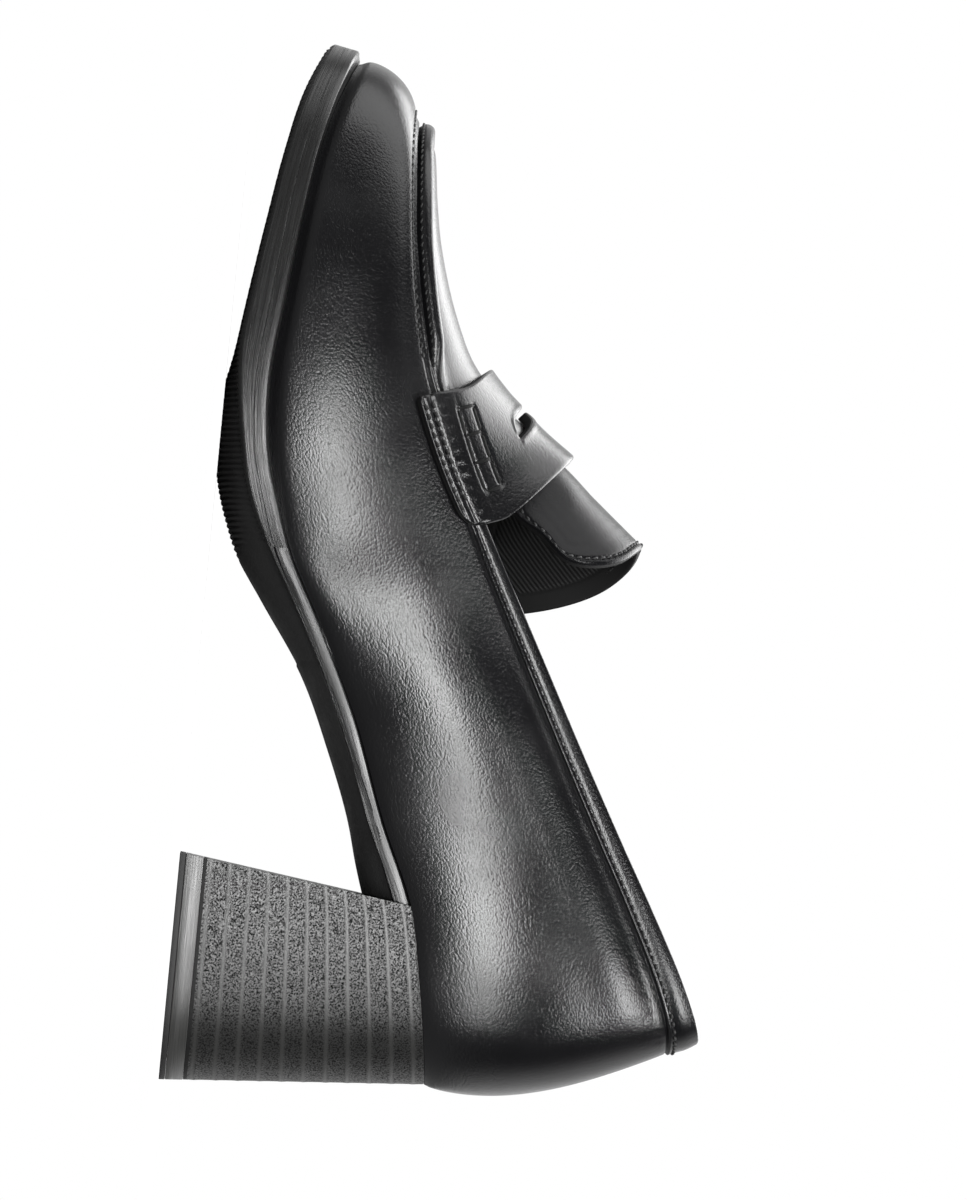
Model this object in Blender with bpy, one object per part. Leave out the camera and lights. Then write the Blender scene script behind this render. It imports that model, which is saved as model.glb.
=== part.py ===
"""Left block-heeled loafer, standing on its sole.

Lengths in the tables are millimetres. s runs forward from the back of the heel, x points to the outer
(lateral) side of the foot, z is the height over the floor. In the scene the toe points along -Y.
"""
from collections import namedtuple

import bmesh
import bpy
import numpy as np

MILLIMETRE = 0.001

# Driving sizes of the shoe
WALL = 1.8              # leather and lining of the upper
GAP = 0.3               # room between neighbouring pieces
STRAP_THICK = 2.5
STRAP_END_THICK = 1.7
TONGUE_THICK = 2.2
INSOLE_THICK = 2.6
WELT_THICK = 3.2
HEEL_LENGTH = 53.8      # along the floor
HEEL_FLARE = 1.09       # floor width over seat width
BREAST_LEAN = 7.3       # the breast is this much further back at the seat
SEAT_BREAST_Z = 54.7
LIFT_COUNT = 11
LIFT_GROOVE = 0.45
LIFT_RIDGE = 0.55       # where a lift stands out most, as a share of its height
BREAST_FADE = 6.0       # the grooves run out over this length before the breast
HEEL_BEVEL = 0.3
SLAB_THICK = 4.2
TOP_LIFT_THICK = 1.4

# Fineness of the grids
COLUMNS = 84            # columns round the shoe
APRON_COLUMNS = 9
STRAP_COLUMNS = 37
TONGUE_COLUMNS = 19
TONGUE_STEPS = 11
HEEL_COLUMNS = 12       # on each side of the heel
TIP_ROOM = 0.12         # the first and last column keep this share of a row off the middle line
TURN_STEP = 0.02        # step of a row for the direction of a line
SHARP_ANGLE = 40.0

# One row for each section round one side of the last, from the back of the heel to the toe tip. The wall
# runs from the feather line (base) to the collar or to the apron seam (top). lat and med are the half widths
# to the outer and inner side, bulge is how far the wall swells, and roundness turns it over towards the top.
Section = namedtuple("Section", "base_s base_z base_lat base_med top_s top_z top_lat top_med bulge roundness")
SECTIONS = [
    Section(4.6, 62.4, 0.0, 0.0, 20.5, 125.2, 0.0, 0.0, 6.0, 0.0),
    Section(7.5, 61.9, 12.5, 12.5, 21.6, 125.0, 6.5, 6.5, 6.0, 0.0),
    Section(15.5, 60.7, 21.5, 21.2, 26.0, 123.6, 11.5, 11.5, 6.0, 0.0),
    Section(29.0, 58.4, 26.0, 25.3, 36.0, 118.9, 15.5, 15.5, 5.6, 0.0),
    Section(46.5, SEAT_BREAST_Z, 27.5, 26.0, 50.0, 111.2, 18.5, 18.3, 5.0, 0.0),
    Section(66.0, 46.2, 28.0, 25.3, 67.0, 101.4, 21.5, 21.0, 4.7, 0.0),
    Section(88.0, 37.9, 29.5, 25.5, 87.0, 90.2, 24.5, 24.0, 4.5, 0.0),
    Section(108.0, 28.2, 33.0, 29.5, 107.0, 79.3, 27.5, 27.0, 4.0, 0.0),
    Section(124.0, 19.6, 37.5, 34.0, 127.0, 68.3, 30.5, 30.0, 3.5, 0.1),
    Section(136.0, 15.2, 40.0, 37.0, 142.5, 60.0, 32.5, 32.0, 3.0, 0.3),
    Section(150.0, 11.5, 41.6, 39.2, 157.0, 53.0, 33.8, 33.3, 2.5, 0.5),
    Section(166.0, 10.5, 41.4, 40.2, 170.5, 47.2, 34.0, 33.6, 2.0, 0.7),
    Section(184.0, 12.2, 39.6, 40.0, 185.0, 43.4, 33.0, 33.0, 1.0, 0.85),
    Section(202.0, 14.2, 36.4, 38.2, 200.0, 40.7, 31.0, 31.5, 0.4, 1.0),
    Section(218.0, 16.5, 32.2, 34.4, 213.0, 39.4, 27.5, 28.0, 0.0, 1.0),
    Section(230.5, 19.5, 26.8, 29.2, 222.3, 38.8, 21.5, 22.5, 0.0, 1.0),
    Section(239.0, 22.4, 19.0, 21.5, 227.8, 38.8, 13.0, 15.0, 0.0, 1.0),
    Section(243.0, 24.0, 9.0, 12.5, 229.8, 38.9, 5.6, 8.0, 0.0, 1.0),
    Section(243.9, 24.4, -1.8, 1.8, 230.3, 39.0, -1.2, 1.2, 0.0, 1.0),
]
TOE_ROW = len(SECTIONS) - 1
THROAT_ROW = 9
BREAST_ROW = 4
SWELL_POWER = 0.8       # under 1 the wall swells most below the middle of its height

# Middle line of the instep and apron, a row for each section from just behind the throat to the toe.
# lift is how far the apron panel stands over its seam.
Crown = namedtuple("Crown", "row s z lift")
CROWNS = [
    Crown(8, 147.0, 89.2, 2.6),
    Crown(9, 156.5, 76.5, 3.0),
    Crown(10, 166.0, 65.6, 3.5),
    Crown(11, 175.6, 57.3, 4.0),
    Crown(12, 187.2, 51.8, 4.0),
    Crown(13, 200.6, 47.6, 4.0),
    Crown(14, 211.0, 45.6, 4.0),
    Crown(15, 218.2, 44.7, 4.0),
    Crown(16, 222.6, 44.1, 4.0),
    Crown(17, 224.7, 43.4, 4.0),
    Crown(18, 225.3, 43.0, 4.0),
]
APRON_ARCH = 3.2        # power of the arch across the apron

# Rolled apron seam: inset from the seam, share of the panel's lift, and relief over the bare panel
SeamRow = namedtuple("SeamRow", "inset rise relief")
SEAM_ROWS = [
    SeamRow(0.9, 0.10, -0.2),
    SeamRow(1.7, 0.32, 2.4),
    SeamRow(3.1, 0.62, 2.7),
    SeamRow(5.0, 1.00, 0.2),
]
SEAM_LIP = 0.7
SEAM_FLAT_S = 169.0     # the strap presses the roll flat behind here
SEAM_FULL_S = 179.0
SEAM_PRESSED = 0.25

# Rows up the wall below the collar band (share of the way to the band), and in the band itself
WALL_ROWS = (0.0, 0.1, 0.25, 0.42, 0.6, 0.78, 0.93, 1.0)
BAND_ROWS = (0.1, 0.5, 1.0)
BAND_RELIEF = (0.5, 0.8, 0.5)
BAND_GROOVE = -0.25
BAND_WIDE = 7.0         # at the back of the heel
BAND_NARROW = 4.0       # at the strap
BAND_FADE = 0.6         # rows before the throat over which the band ends

# Underside of the sole: height of its edge and of its middle line
Under = namedtuple("Under", "s edge middle")
UNDERSIDE = [
    Under(46.0, 50.6, 44.2),
    Under(55.0, 47.2, 41.3),
    Under(64.0, 43.8, 38.8),
    Under(81.0, 36.4, 32.2),
    Under(98.0, 28.8, 24.2),
    Under(115.0, 19.6, 12.6),
    Under(123.0, 14.8, 7.2),
    Under(132.0, 9.8, 3.2),
    Under(140.0, 6.6, 0.6),
    Under(149.0, 4.6, -1.0),
    Under(160.0, 2.8, -0.9),
    Under(172.0, 2.0, 1.4),
    Under(188.0, 3.9, 3.6),
    Under(204.0, 6.2, 6.0),
    Under(219.0, 8.6, 8.4),
    Under(235.0, 12.2, 12.0),
    Under(248.0, 17.4, 17.2),
]
UNDER_ARCH = 3.4

# How far the sole's edge stands out from the feather line
Margin = namedtuple("Margin", "row top bottom")
MARGINS = [
    Margin(4, -0.6, -1.0),
    Margin(6, 0.2, -0.4),
    Margin(8, 1.4, 1.0),
    Margin(9, 2.2, 2.2),
    Margin(12, 2.4, 2.8),
    Margin(15, 2.2, 3.0),
    Margin(18, 1.7, 3.4),
]
WELT_ROW = 8.25         # the welt layer ends behind the ball
STEP_ROOM = 0.05        # rows from the welt's end to the step behind it, and half the step's run
STEP_HALF = 0.01
OUTSOLE_TOP_INSET = 0.4
OUTSOLE_TOP_BEVEL = 0.5
OUTSOLE_FOOT_BEVEL = 0.7

# Rounded edges, from the lower face to the upper one: height in the layer and inset of the edge
EdgeRow = namedtuple("EdgeRow", "rise inset")
INSOLE_EDGE = [
    EdgeRow(0.0, 0.5),
    EdgeRow(0.6, 0.2),
    EdgeRow(INSOLE_THICK - 0.5, 0.2),
    EdgeRow(INSOLE_THICK, 0.7),
]
WELT_EDGE = [
    EdgeRow(0.0, 0.5),
    EdgeRow(0.5, 0.0),
    EdgeRow(WELT_THICK - 0.6, 0.0),
    EdgeRow(WELT_THICK, 0.5),
]

# Saddle strap: the rows of the last between which it lies and where its ends stop on the wall
STRAP_REAR = 8.58
STRAP_FRONT = 10.65
STRAP_END_REAR = 0.86
STRAP_END_FRONT = 0.76
STRAP_REAR_ROWS = (0.0, 0.06, 0.35, 0.7, 1.0)    # from the rear edge to the slit
STRAP_FRONT_ROWS = (0.0, 0.3, 0.65, 0.94, 1.0)   # from the slit to the front edge
STRAP_SMOOTHING = 3     # rounds of smoothing along the strap
STRAP_TOP_SHARE = 0.80  # share of the half length that lies above the seam
STRAP_SEAM_SHARE = 0.15
STRAP_EDGE_ROUND = 0.6
STRAP_TAPER_FROM = 0.6  # share of the half length where it starts to thin
STRAP_CLEAR = 0.55      # room under the strap, and the further room it needs over the seam and the tongue
STRAP_OVER_SEAM = 0.55
STRAP_OVER_ROLL = 0.5
STRAP_OVER_TONGUE = 0.4
ROLL_FROM = 0.4         # shares of the strap's width: the roll starts, and the tongue is left behind
TONGUE_UNTIL = 0.35
SEAM_PLACE = 0.77       # shares of the strap's half length
SEAM_SPREAD = 0.12
STRAP_HALF_LENGTH = 46.0
SLIT_HALF = 22.5
SLIT_NOTCH_HALF = 2.6
SLIT_OPEN = 0.15        # shares of the strap's width
SLIT_LEAST = 0.02
SLIT_NOTCH = 0.13
SLIT_CENTRE = 0.515
SLIT_CURL = 0.125
SLIT_SAG = 1.8          # power of the rear lip's sag towards the middle
SLIT_HOOK = 8           # power with which the slit closes at its ends

# Tongue: its tip, and for its outer and inner side the share of the throat's half width at the root, the shares
# of its length where it leaves the last and stands free, its half width at the tip, and how far it hangs behind
# and below the tip, each with a power of the distance from the middle
Hang = namedtuple("Hang", "side leaves free half back back_power down down_power")
TONGUE_TIP_S = 135.6
TONGUE_TIP_Z = 101.9
TONGUE_LAT = Hang(0.92, 0.15, 0.50, 28.0, 11.0, 2.0, 13.0, 2.0)
TONGUE_MED = Hang(0.99, 0.05, 0.45, 27.0, 28.0, 1.6, 45.0, 3.0)
TONGUE_CHANGE = 0.8     # the inner side's shares hold from this share of the half width on
TONGUE_ROWS = 2.0       # rows of the last that its length spans
TONGUE_ROOT = 0.012     # share of its length where it starts
TONGUE_CORNER = 0.34
TONGUE_ROUND = 0.50

# Colours, roughness
BLACK_LEATHER = ((0.012, 0.012, 0.013, 1.0), 0.38)
BLACK_EDGE = ((0.020, 0.020, 0.021, 1.0), 0.50)
GREY_STACK = ((0.060, 0.060, 0.060, 1.0), 0.62)
BLACK_RUBBER = ((0.010, 0.010, 0.010, 1.0), 0.75)


def closed_curve(lateral, medial, u):
    """Catmull-Rom curve through the rows of one side and back along the other, at positions u."""
    values = np.concatenate([lateral, np.asarray(medial)[-2:0:-1]])
    i = np.floor(u).astype(int)
    f = u - i
    a, b, c, d = (values[(i + step) % len(values)] for step in (-1, 0, 1, 2))
    return b + 0.5 * f * (c - a + f * (2 * a - 5 * b + 4 * c - d + f * (3 * b - a - 3 * c + d)))


def smooth_table(rows, key, column, at):
    """Smooth curve through one column of a table, read along its key column."""
    x = np.array([getattr(row, key) for row in rows], float)
    y = np.array([getattr(row, column) for row in rows], float)
    slope = np.gradient(y, x)
    i = np.clip(np.searchsorted(x, at) - 1, 0, len(x) - 2)
    width = x[i + 1] - x[i]
    f = np.clip((at - x[i]) / width, 0.0, 1.0)
    low = y[i] * (1 + 2 * f) + slope[i] * width * f
    high = y[i + 1] * (3 - 2 * f) - slope[i + 1] * width * (1 - f)
    return low * (1 - f) ** 2 + high * f ** 2


def ease(low, high, value):
    """Smooth step from 0 at low to 1 at high."""
    f = np.clip((value - low) / (high - low), 0.0, 1.0)
    return f * f * (3 - 2 * f)


def row_of(u):
    """Section row of a position round the shoe: the way back along the inner side mirrors the outer."""
    around = np.mod(u, 2 * TOE_ROW)
    return TOE_ROW - np.abs(around - TOE_ROW)


def column_of(name):
    return np.array([getattr(row, name) for row in SECTIONS])


def ring_line(level, u):
    """Points (s, x, z) of the base or top line at positions u round the shoe."""
    s = closed_curve(column_of(level + "_s"), column_of(level + "_s"), u)
    x = closed_curve(column_of(level + "_lat"), -column_of(level + "_med"), u)
    z = closed_curve(column_of(level + "_z"), column_of(level + "_z"), u)
    return np.stack([s, x, z], axis=-1)


def outward(level, u):
    """Level unit vectors that point out of the base or top line."""
    along = ring_line(level, u + TURN_STEP) - ring_line(level, u - TURN_STEP)
    out = np.stack([-along[..., 1], along[..., 0], np.zeros_like(u)], axis=-1)
    return out / np.linalg.norm(out, axis=-1, keepdims=True)


def wall(u, v):
    """Bare wall of the upper at position u round the shoe and share v of its height."""
    u, v = np.broadcast_arrays(np.asarray(u, float), np.asarray(v, float))
    base = ring_line("base", u)
    top = ring_line("top", u)
    bulge = closed_curve(column_of("bulge"), column_of("bulge"), u)
    turn = closed_curve(column_of("roundness"), column_of("roundness"), u)
    inward_share = (1 - turn) * v + turn * (1 - np.cos(v * np.pi / 2))
    height_share = (1 - turn) * v + turn * np.sin(v * np.pi / 2)
    share = np.stack([inward_share, inward_share, height_share], axis=-1)
    swell = bulge * np.sin(np.pi * v ** SWELL_POWER)
    return base + (top - base) * share + outward("base", u) * swell[..., None]


def seam_point(u, inset, rise):
    """Point of the bare panel border, inset from the seam and raised by a share of the panel's lift."""
    point = ring_line("top", u) - outward("top", u) * inset
    point[..., 2] += rise * smooth_table(CROWNS, "row", "lift", row_of(u))
    return point


def apron(row, across):
    """Bare apron between its borders: across runs from -1 at the outer border to 1 at the inner one."""
    row, across = np.broadcast_arrays(np.asarray(row, float), np.asarray(across, float))
    edge = SEAM_ROWS[-1]
    outer = seam_point(row, edge.inset, edge.rise)
    inner = seam_point(2 * TOE_ROW - row, edge.inset, edge.rise)
    point = outer + (inner - outer) * ((across + 1) / 2)[..., None]
    arch = 1 - np.abs(across) ** APRON_ARCH
    middle = (outer + inner) / 2
    point[..., 0] += (smooth_table(CROWNS, "row", "s", row) - middle[..., 0]) * arch
    point[..., 2] += (smooth_table(CROWNS, "row", "z", row) - middle[..., 2]) * arch
    return point


def make_object(name, points, faces, finish, parent):
    """Mesh object from points in millimetres, closed and turned outwards, with its own material."""
    colour, roughness = finish
    mesh = bpy.data.meshes.new(name)
    world = np.stack([points[:, 1], -points[:, 0], points[:, 2]], axis=-1) * MILLIMETRE
    mesh.from_pydata(world.tolist(), [], faces)
    shape = bmesh.new()
    shape.from_mesh(mesh)
    bmesh.ops.recalc_face_normals(shape, faces=shape.faces)
    bmesh.ops.triangulate(shape, faces=shape.faces)
    shape.to_mesh(mesh)
    shape.free()
    mesh.shade_smooth()
    mesh.set_sharp_from_angle(angle=np.radians(SHARP_ANGLE))
    material = bpy.data.materials.new(name)
    material.use_nodes = True
    shader = material.node_tree.nodes["Principled BSDF"]
    shader.inputs["Base Color"].default_value = colour
    shader.inputs["Roughness"].default_value = roughness
    shader.inputs["Metallic"].default_value = 0.0
    mesh.materials.append(material)
    made = bpy.data.objects.new(name, mesh)
    bpy.context.collection.objects.link(made)
    made.parent = parent
    return made


def grid_faces(index, closed=False):
    """Four-sided faces of a grid of point numbers, closed along its second direction if asked."""
    if closed:
        index = np.concatenate([index, index[:, :1]], axis=1)
    corners = [index[:-1, :-1], index[:-1, 1:], index[1:, 1:], index[1:, :-1]]
    return np.stack(corners, axis=-1).reshape(-1, 4).tolist()


def sheet_normals(points, faces):
    """Mean face direction at each point of a sheet of four-sided faces."""
    quads = np.array(faces)
    across = points[quads[:, 2]] - points[quads[:, 0]]
    along = points[quads[:, 3]] - points[quads[:, 1]]
    face_normal = np.cross(across, along)
    total = np.zeros_like(points)
    for corner in range(4):
        np.add.at(total, quads[:, corner], face_normal)
    return total / np.linalg.norm(total, axis=1, keepdims=True)


def free_edges(faces):
    """Directed edges of a sheet that belong to one face alone."""
    edges = {}
    for face in faces:
        ring = [corner for place, corner in enumerate(face) if corner != face[place - 1]]
        for start, end in zip(ring, ring[1:] + ring[:1]):
            edges[(start, end)] = True
    return [edge for edge in edges if (edge[1], edge[0]) not in edges]


def thicken(points, faces, outer, inner):
    """Closed shell between two offsets of a sheet along its normals, with its rims."""
    normals = sheet_normals(points, faces)
    count = len(points)
    shell_points = np.concatenate([points + normals * outer[:, None], points + normals * inner[:, None]])
    tidy = [[c for place, c in enumerate(face) if c != face[place - 1]] for face in faces]
    shell_faces = list(tidy)
    shell_faces += [[corner + count for corner in reversed(face)] for face in tidy]
    shell_faces += [[end, start, start + count, end + count] for start, end in free_edges(faces)]
    return shell_points, shell_faces


def slab(loops, under=None, segments=4, floor=None):
    """Solid from loops stacked upwards. Point i of a loop faces point -1-i across the shoe, and rungs between
    them close the first and last loop. under gives the height of the first loop's middle line."""
    half = loops[0].shape[0] // 2
    steps = np.linspace(0, 1, segments + 1)[1:-1]
    inner_count = len(steps)

    def rungs(loop, middle):
        """Points between the two sides of a loop, arched to the middle line's height where one is given."""
        outer = loop[:half, None]
        inner = loop[::-1][:half, None]
        between = outer + (inner - outer) * steps[None, :, None]
        if middle is not None:
            arch = 1 - np.abs(2 * steps - 1) ** UNDER_ARCH
            between[..., 2] += (middle[:half, None] - outer[..., 2]) * arch[None]
        if floor is not None:
            between[..., 2] = np.maximum(between[..., 2], floor)
        return between

    rings = []
    fills = []
    for level, loop in enumerate(loops):
        between = rungs(loop, under if level == 0 else None)
        rings.append(np.concatenate([loop[:half], between[-1], loop[half:], between[0, ::-1]]))
        fills.append(between[1:-1])
    ring_count = len(rings[0])
    index = np.arange(ring_count * len(rings)).reshape(len(rings), ring_count)
    faces = grid_faces(index, closed=True)
    points = rings
    total = index.size
    for level in (0, len(loops) - 1):
        ring = index[level]
        outer = ring[:half]
        front = ring[half:half + inner_count]
        inner = ring[half + inner_count:2 * half + inner_count][::-1]
        rear = ring[2 * half + inner_count:][::-1]
        inside = total + np.arange((half - 2) * inner_count).reshape(half - 2, inner_count)
        total += inside.size
        points = points + [fills[level].reshape(-1, 3)]
        middle_rungs = np.concatenate([rear[None], inside, front[None]])
        faces += grid_faces(np.concatenate([outer[:, None], middle_rungs, inner[:, None]], axis=1))
    return np.concatenate(points), faces


def sole_rows(first):
    """Positions from a row of the outer side round the toe to the same row inside, in pairs."""
    ring = np.arange(COLUMNS) * 2 * TOE_ROW / COLUMNS
    side = ring[(ring > first + TIP_ROOM) & (ring < TOE_ROW)]
    side = np.concatenate([[first], side, [TOE_ROW - TIP_ROOM]])
    return np.concatenate([side, 2 * TOE_ROW - side[::-1]])


def edge_loop(u, level, depth, inset=0.0):
    """Loop of the sole's edge: the feather line pushed out by the margin and lowered by depth."""
    margin = smooth_table(MARGINS, "row", level, row_of(u)) - inset
    loop = ring_line("base", u) + outward("base", u) * margin[:, None]
    loop[:, 2] -= depth
    return loop


def breast_s(z):
    """Front face of the heel: its place along the shoe at height z."""
    return HEEL_LENGTH - BREAST_LEAN * z / SEAT_BREAST_Z


def build_upper(parent):
    """Walls round the shoe, the seam's rolled border and the apron panel as one sheet with a thickness."""
    u = np.arange(COLUMNS) * 2 * TOE_ROW / COLUMNS
    first = int(round(THROAT_ROW * COLUMNS / (2 * TOE_ROW)))
    height = np.linalg.norm(ring_line("top", u) - ring_line("base", u), axis=1)
    band = BAND_WIDE + (BAND_NARROW - BAND_WIDE) * np.clip(row_of(u) / THROAT_ROW, 0, 1)
    band_start = 1 - band / height
    shares = [band_start * share for share in WALL_ROWS]
    shares += [band_start + (1 - band_start) * share for share in BAND_ROWS]
    rows = [wall(u, share) for share in shares]
    at_collar = 1 - ease(THROAT_ROW - BAND_FADE, THROAT_ROW, row_of(u))
    relief = [np.zeros(COLUMNS) for share in WALL_ROWS[:-1]]
    relief += [BAND_GROOVE * at_collar]
    relief += [amount * at_collar for amount in BAND_RELIEF]
    pressed = SEAM_PRESSED + (1 - SEAM_PRESSED) * ease(SEAM_FLAT_S, SEAM_FULL_S, ring_line("top", u)[:, 0])
    relief[-1] = relief[-1] + SEAM_LIP * pressed * (1 - at_collar)
    points = [np.concatenate(rows)]
    reliefs = [np.concatenate(relief)]
    index = np.arange(COLUMNS * len(rows)).reshape(len(rows), COLUMNS)
    faces = grid_faces(index, closed=True)
    total = index.size
    front = np.arange(first, COLUMNS - first + 1)
    border = [index[-1, front]]
    for seam in SEAM_ROWS:
        points.append(seam_point(u[front], seam.inset, seam.rise))
        reliefs.append(seam.relief * pressed[front])
        border.append(total + np.arange(len(front)))
        total += len(front)
    border = np.array(border)
    faces += grid_faces(border)
    half = len(front) // 2
    across = np.linspace(-1, 1, APRON_COLUMNS)
    panel = apron(u[front[:half], None], across[None, 1:-1])
    inside = total + np.arange(panel.shape[0] * panel.shape[1]).reshape(panel.shape[:2])
    points.append(panel.reshape(-1, 3))
    reliefs.append(np.zeros(inside.size))
    ladder = np.concatenate([border[-1, :half, None], inside, border[-1, ::-1][:half, None]], axis=1)
    tip = np.full((1, ladder.shape[1]), border[-1, half])
    faces += grid_faces(np.concatenate([ladder, tip]).T)
    points = np.concatenate(points)
    reliefs = np.concatenate(reliefs)
    faces = [face[::-1] for face in faces]
    shell, shell_faces = thicken(points, faces, reliefs, np.full(len(points), -WALL))
    feather = np.arange(COLUMNS)
    shell[feather, 2] = points[feather, 2]
    shell[feather + len(points), 2] = points[feather, 2]
    return make_object("upper", shell, shell_faces, BLACK_LEATHER, parent)


def strap_surface(row, q):
    """Bare surface under the strap: q runs from -1 at its outer end over the instep to 1 at its inner end."""
    row, q = np.broadcast_arrays(row, q)
    size = np.abs(q)
    panel_share = STRAP_TOP_SHARE * (1 - STRAP_SEAM_SHARE)
    across = np.clip(q / panel_share, -1, 1)
    panel = apron(row, across)
    side = np.where(q < 0, row, 2 * TOE_ROW - row)
    edge = SEAM_ROWS[-1]
    border = seam_point(side, edge.inset, edge.rise)
    top = ring_line("top", side)
    on_seam = np.clip((size - panel_share) / (STRAP_TOP_SHARE - panel_share), 0, 1)
    seam = border + (top - border) * on_seam[..., None]
    stop = np.interp(row, [STRAP_REAR, STRAP_FRONT], [STRAP_END_REAR, STRAP_END_FRONT])
    on_wall = np.clip((size - STRAP_TOP_SHARE) / (1 - STRAP_TOP_SHARE), 0, 1)
    side_wall = wall(side, 1 - on_wall * (1 - stop))
    place = np.where((size > panel_share)[..., None], seam, panel)
    return np.where((size > STRAP_TOP_SHARE)[..., None], side_wall, place)


def build_strap(parent):
    """Band over the instep: an offset of the upper, with a crescent slit left open between two rows."""
    q = np.linspace(-1, 1, STRAP_COLUMNS)
    along = q * STRAP_HALF_LENGTH
    slit_at = np.clip(np.abs(along) / SLIT_HALF, 0, 1)
    inside_slit = 1 - slit_at ** SLIT_HOOK
    slit_rear = SLIT_CENTRE - SLIT_CURL * (1 - (1 - slit_at) ** SLIT_SAG)
    notch = SLIT_NOTCH * np.exp(-(along / SLIT_NOTCH_HALF) ** 2)
    slit_front = slit_rear + SLIT_OPEN * np.sqrt(slit_at * inside_slit) + notch + SLIT_LEAST
    rear = [slit_rear * share for share in STRAP_REAR_ROWS]
    front = [slit_front + (1 - slit_front) * share for share in STRAP_FRONT_ROWS]
    b = np.array(rear + front)
    row = STRAP_REAR + (STRAP_FRONT - STRAP_REAR) * b
    points = strap_surface(row, np.broadcast_to(q, row.shape))
    for _ in range(STRAP_SMOOTHING):
        points[:, 1:-1] = (points[:, :-2] + 2 * points[:, 1:-1] + points[:, 2:]) / 4
    index = np.arange(b.size).reshape(b.shape)
    behind_slit = len(STRAP_REAR_ROWS)
    rear_part = grid_faces(index[:behind_slit])
    front_part = grid_faces(index[behind_slit:])
    bridge = index[behind_slit - 1:behind_slit + 1]
    solid = inside_slit <= 0.0
    columns = [c for c in range(len(q) - 1) if solid[c] or solid[c + 1]]
    joins = [[bridge[0, c], bridge[0, c + 1], bridge[1, c + 1], bridge[1, c]] for c in columns]
    faces = rear_part + front_part + [[int(corner) for corner in face] for face in joins]
    near_seam = np.exp(-((np.abs(q) - SEAM_PLACE) / SEAM_SPREAD) ** 2)
    clear = STRAP_CLEAR + near_seam[None] * (STRAP_OVER_SEAM + STRAP_OVER_ROLL * ease(ROLL_FROM, 1.0, b))
    clear += STRAP_OVER_TONGUE * (1 - ease(0.0, TONGUE_UNTIL, b))
    taper = ease(STRAP_TAPER_FROM, 1.0, np.abs(q)) * (STRAP_THICK - STRAP_END_THICK)
    thick = np.broadcast_to(STRAP_THICK - taper, b.shape).copy()
    thick[[0, -1]] -= STRAP_EDGE_ROUND
    shell, shell_faces = thicken(points.reshape(-1, 3), faces, (clear + thick).ravel(), clear.ravel())
    return make_object("saddle_strap", shell, shell_faces, BLACK_LEATHER, parent)


def build_tongue(parent):
    """Arched flap: it leaves the throat along the last, then stands straight up to its rounded end."""
    w = np.sin(np.linspace(-1, 1, TONGUE_COLUMNS) * np.pi / 2)
    shares = np.linspace(0, 1, TONGUE_STEPS)
    corner = np.clip((np.abs(w) - TONGUE_ROUND) / (1 - TONGUE_ROUND), 0, 1)
    reach = 1 - TONGUE_CORNER * (1 - np.sqrt(1 - corner ** 2))
    b = TONGUE_ROOT + shares[:, None] * (reach[None] - TONGUE_ROOT)
    outer, inner = TONGUE_LAT, TONGUE_MED
    size = np.abs(w)
    back = np.where(w < 0, outer.back * size ** outer.back_power, inner.back * size ** inner.back_power)
    down = np.where(w < 0, outer.down * size ** outer.down_power, inner.down * size ** inner.down_power)
    change = ease(0.0, TONGUE_CHANGE, w)
    side = outer.side + (inner.side - outer.side) * change
    half = outer.half + (inner.half - outer.half) * change
    leaves = outer.leaves + (inner.leaves - outer.leaves) * change
    free = outer.free + (inner.free - outer.free) * change
    root = apron(np.full(w.shape, float(THROAT_ROW)), w * side)
    tip = np.stack([TONGUE_TIP_S - back, -half * w, TONGUE_TIP_Z - down], axis=-1)
    straight = root + (tip - root) * b[..., None]
    behind = np.maximum(THROAT_ROW - TONGUE_ROWS * b, CROWNS[0].row)
    follow = apron(behind, np.broadcast_to(w * side, b.shape))
    leave = ease(leaves, free, b)[..., None]
    points = follow * (1 - leave) + straight * leave
    faces = grid_faces(np.arange(b.size).reshape(b.shape))
    count = b.size
    shell, shell_faces = thicken(points.reshape(-1, 3), faces, np.zeros(count), np.full(count, TONGUE_THICK))
    return make_object("tongue", shell, shell_faces, BLACK_LEATHER, parent)


def build_insole(parent):
    """Sock board on the sole, clear of the upper's inner face."""
    u = sole_rows(TIP_ROOM)
    loops = []
    for edge in INSOLE_EDGE:
        loop = ring_line("base", u) - outward("base", u) * (WALL + GAP + edge.inset)
        loop[:, 2] += edge.rise
        loops.append(loop)
    points, faces = slab(loops, segments=2)
    return make_object("insole", points, faces, BLACK_LEATHER, parent)


def build_welt(parent):
    """Upper layer of the forefoot edge, a plate from the toe to behind the ball."""
    u = sole_rows(WELT_ROW)
    loops = [edge_loop(u, "top", GAP + WELT_THICK - edge.rise, edge.inset) for edge in WELT_EDGE]
    points, faces = slab(loops, segments=2)
    return make_object("welt", points, faces, BLACK_EDGE, parent)


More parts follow.
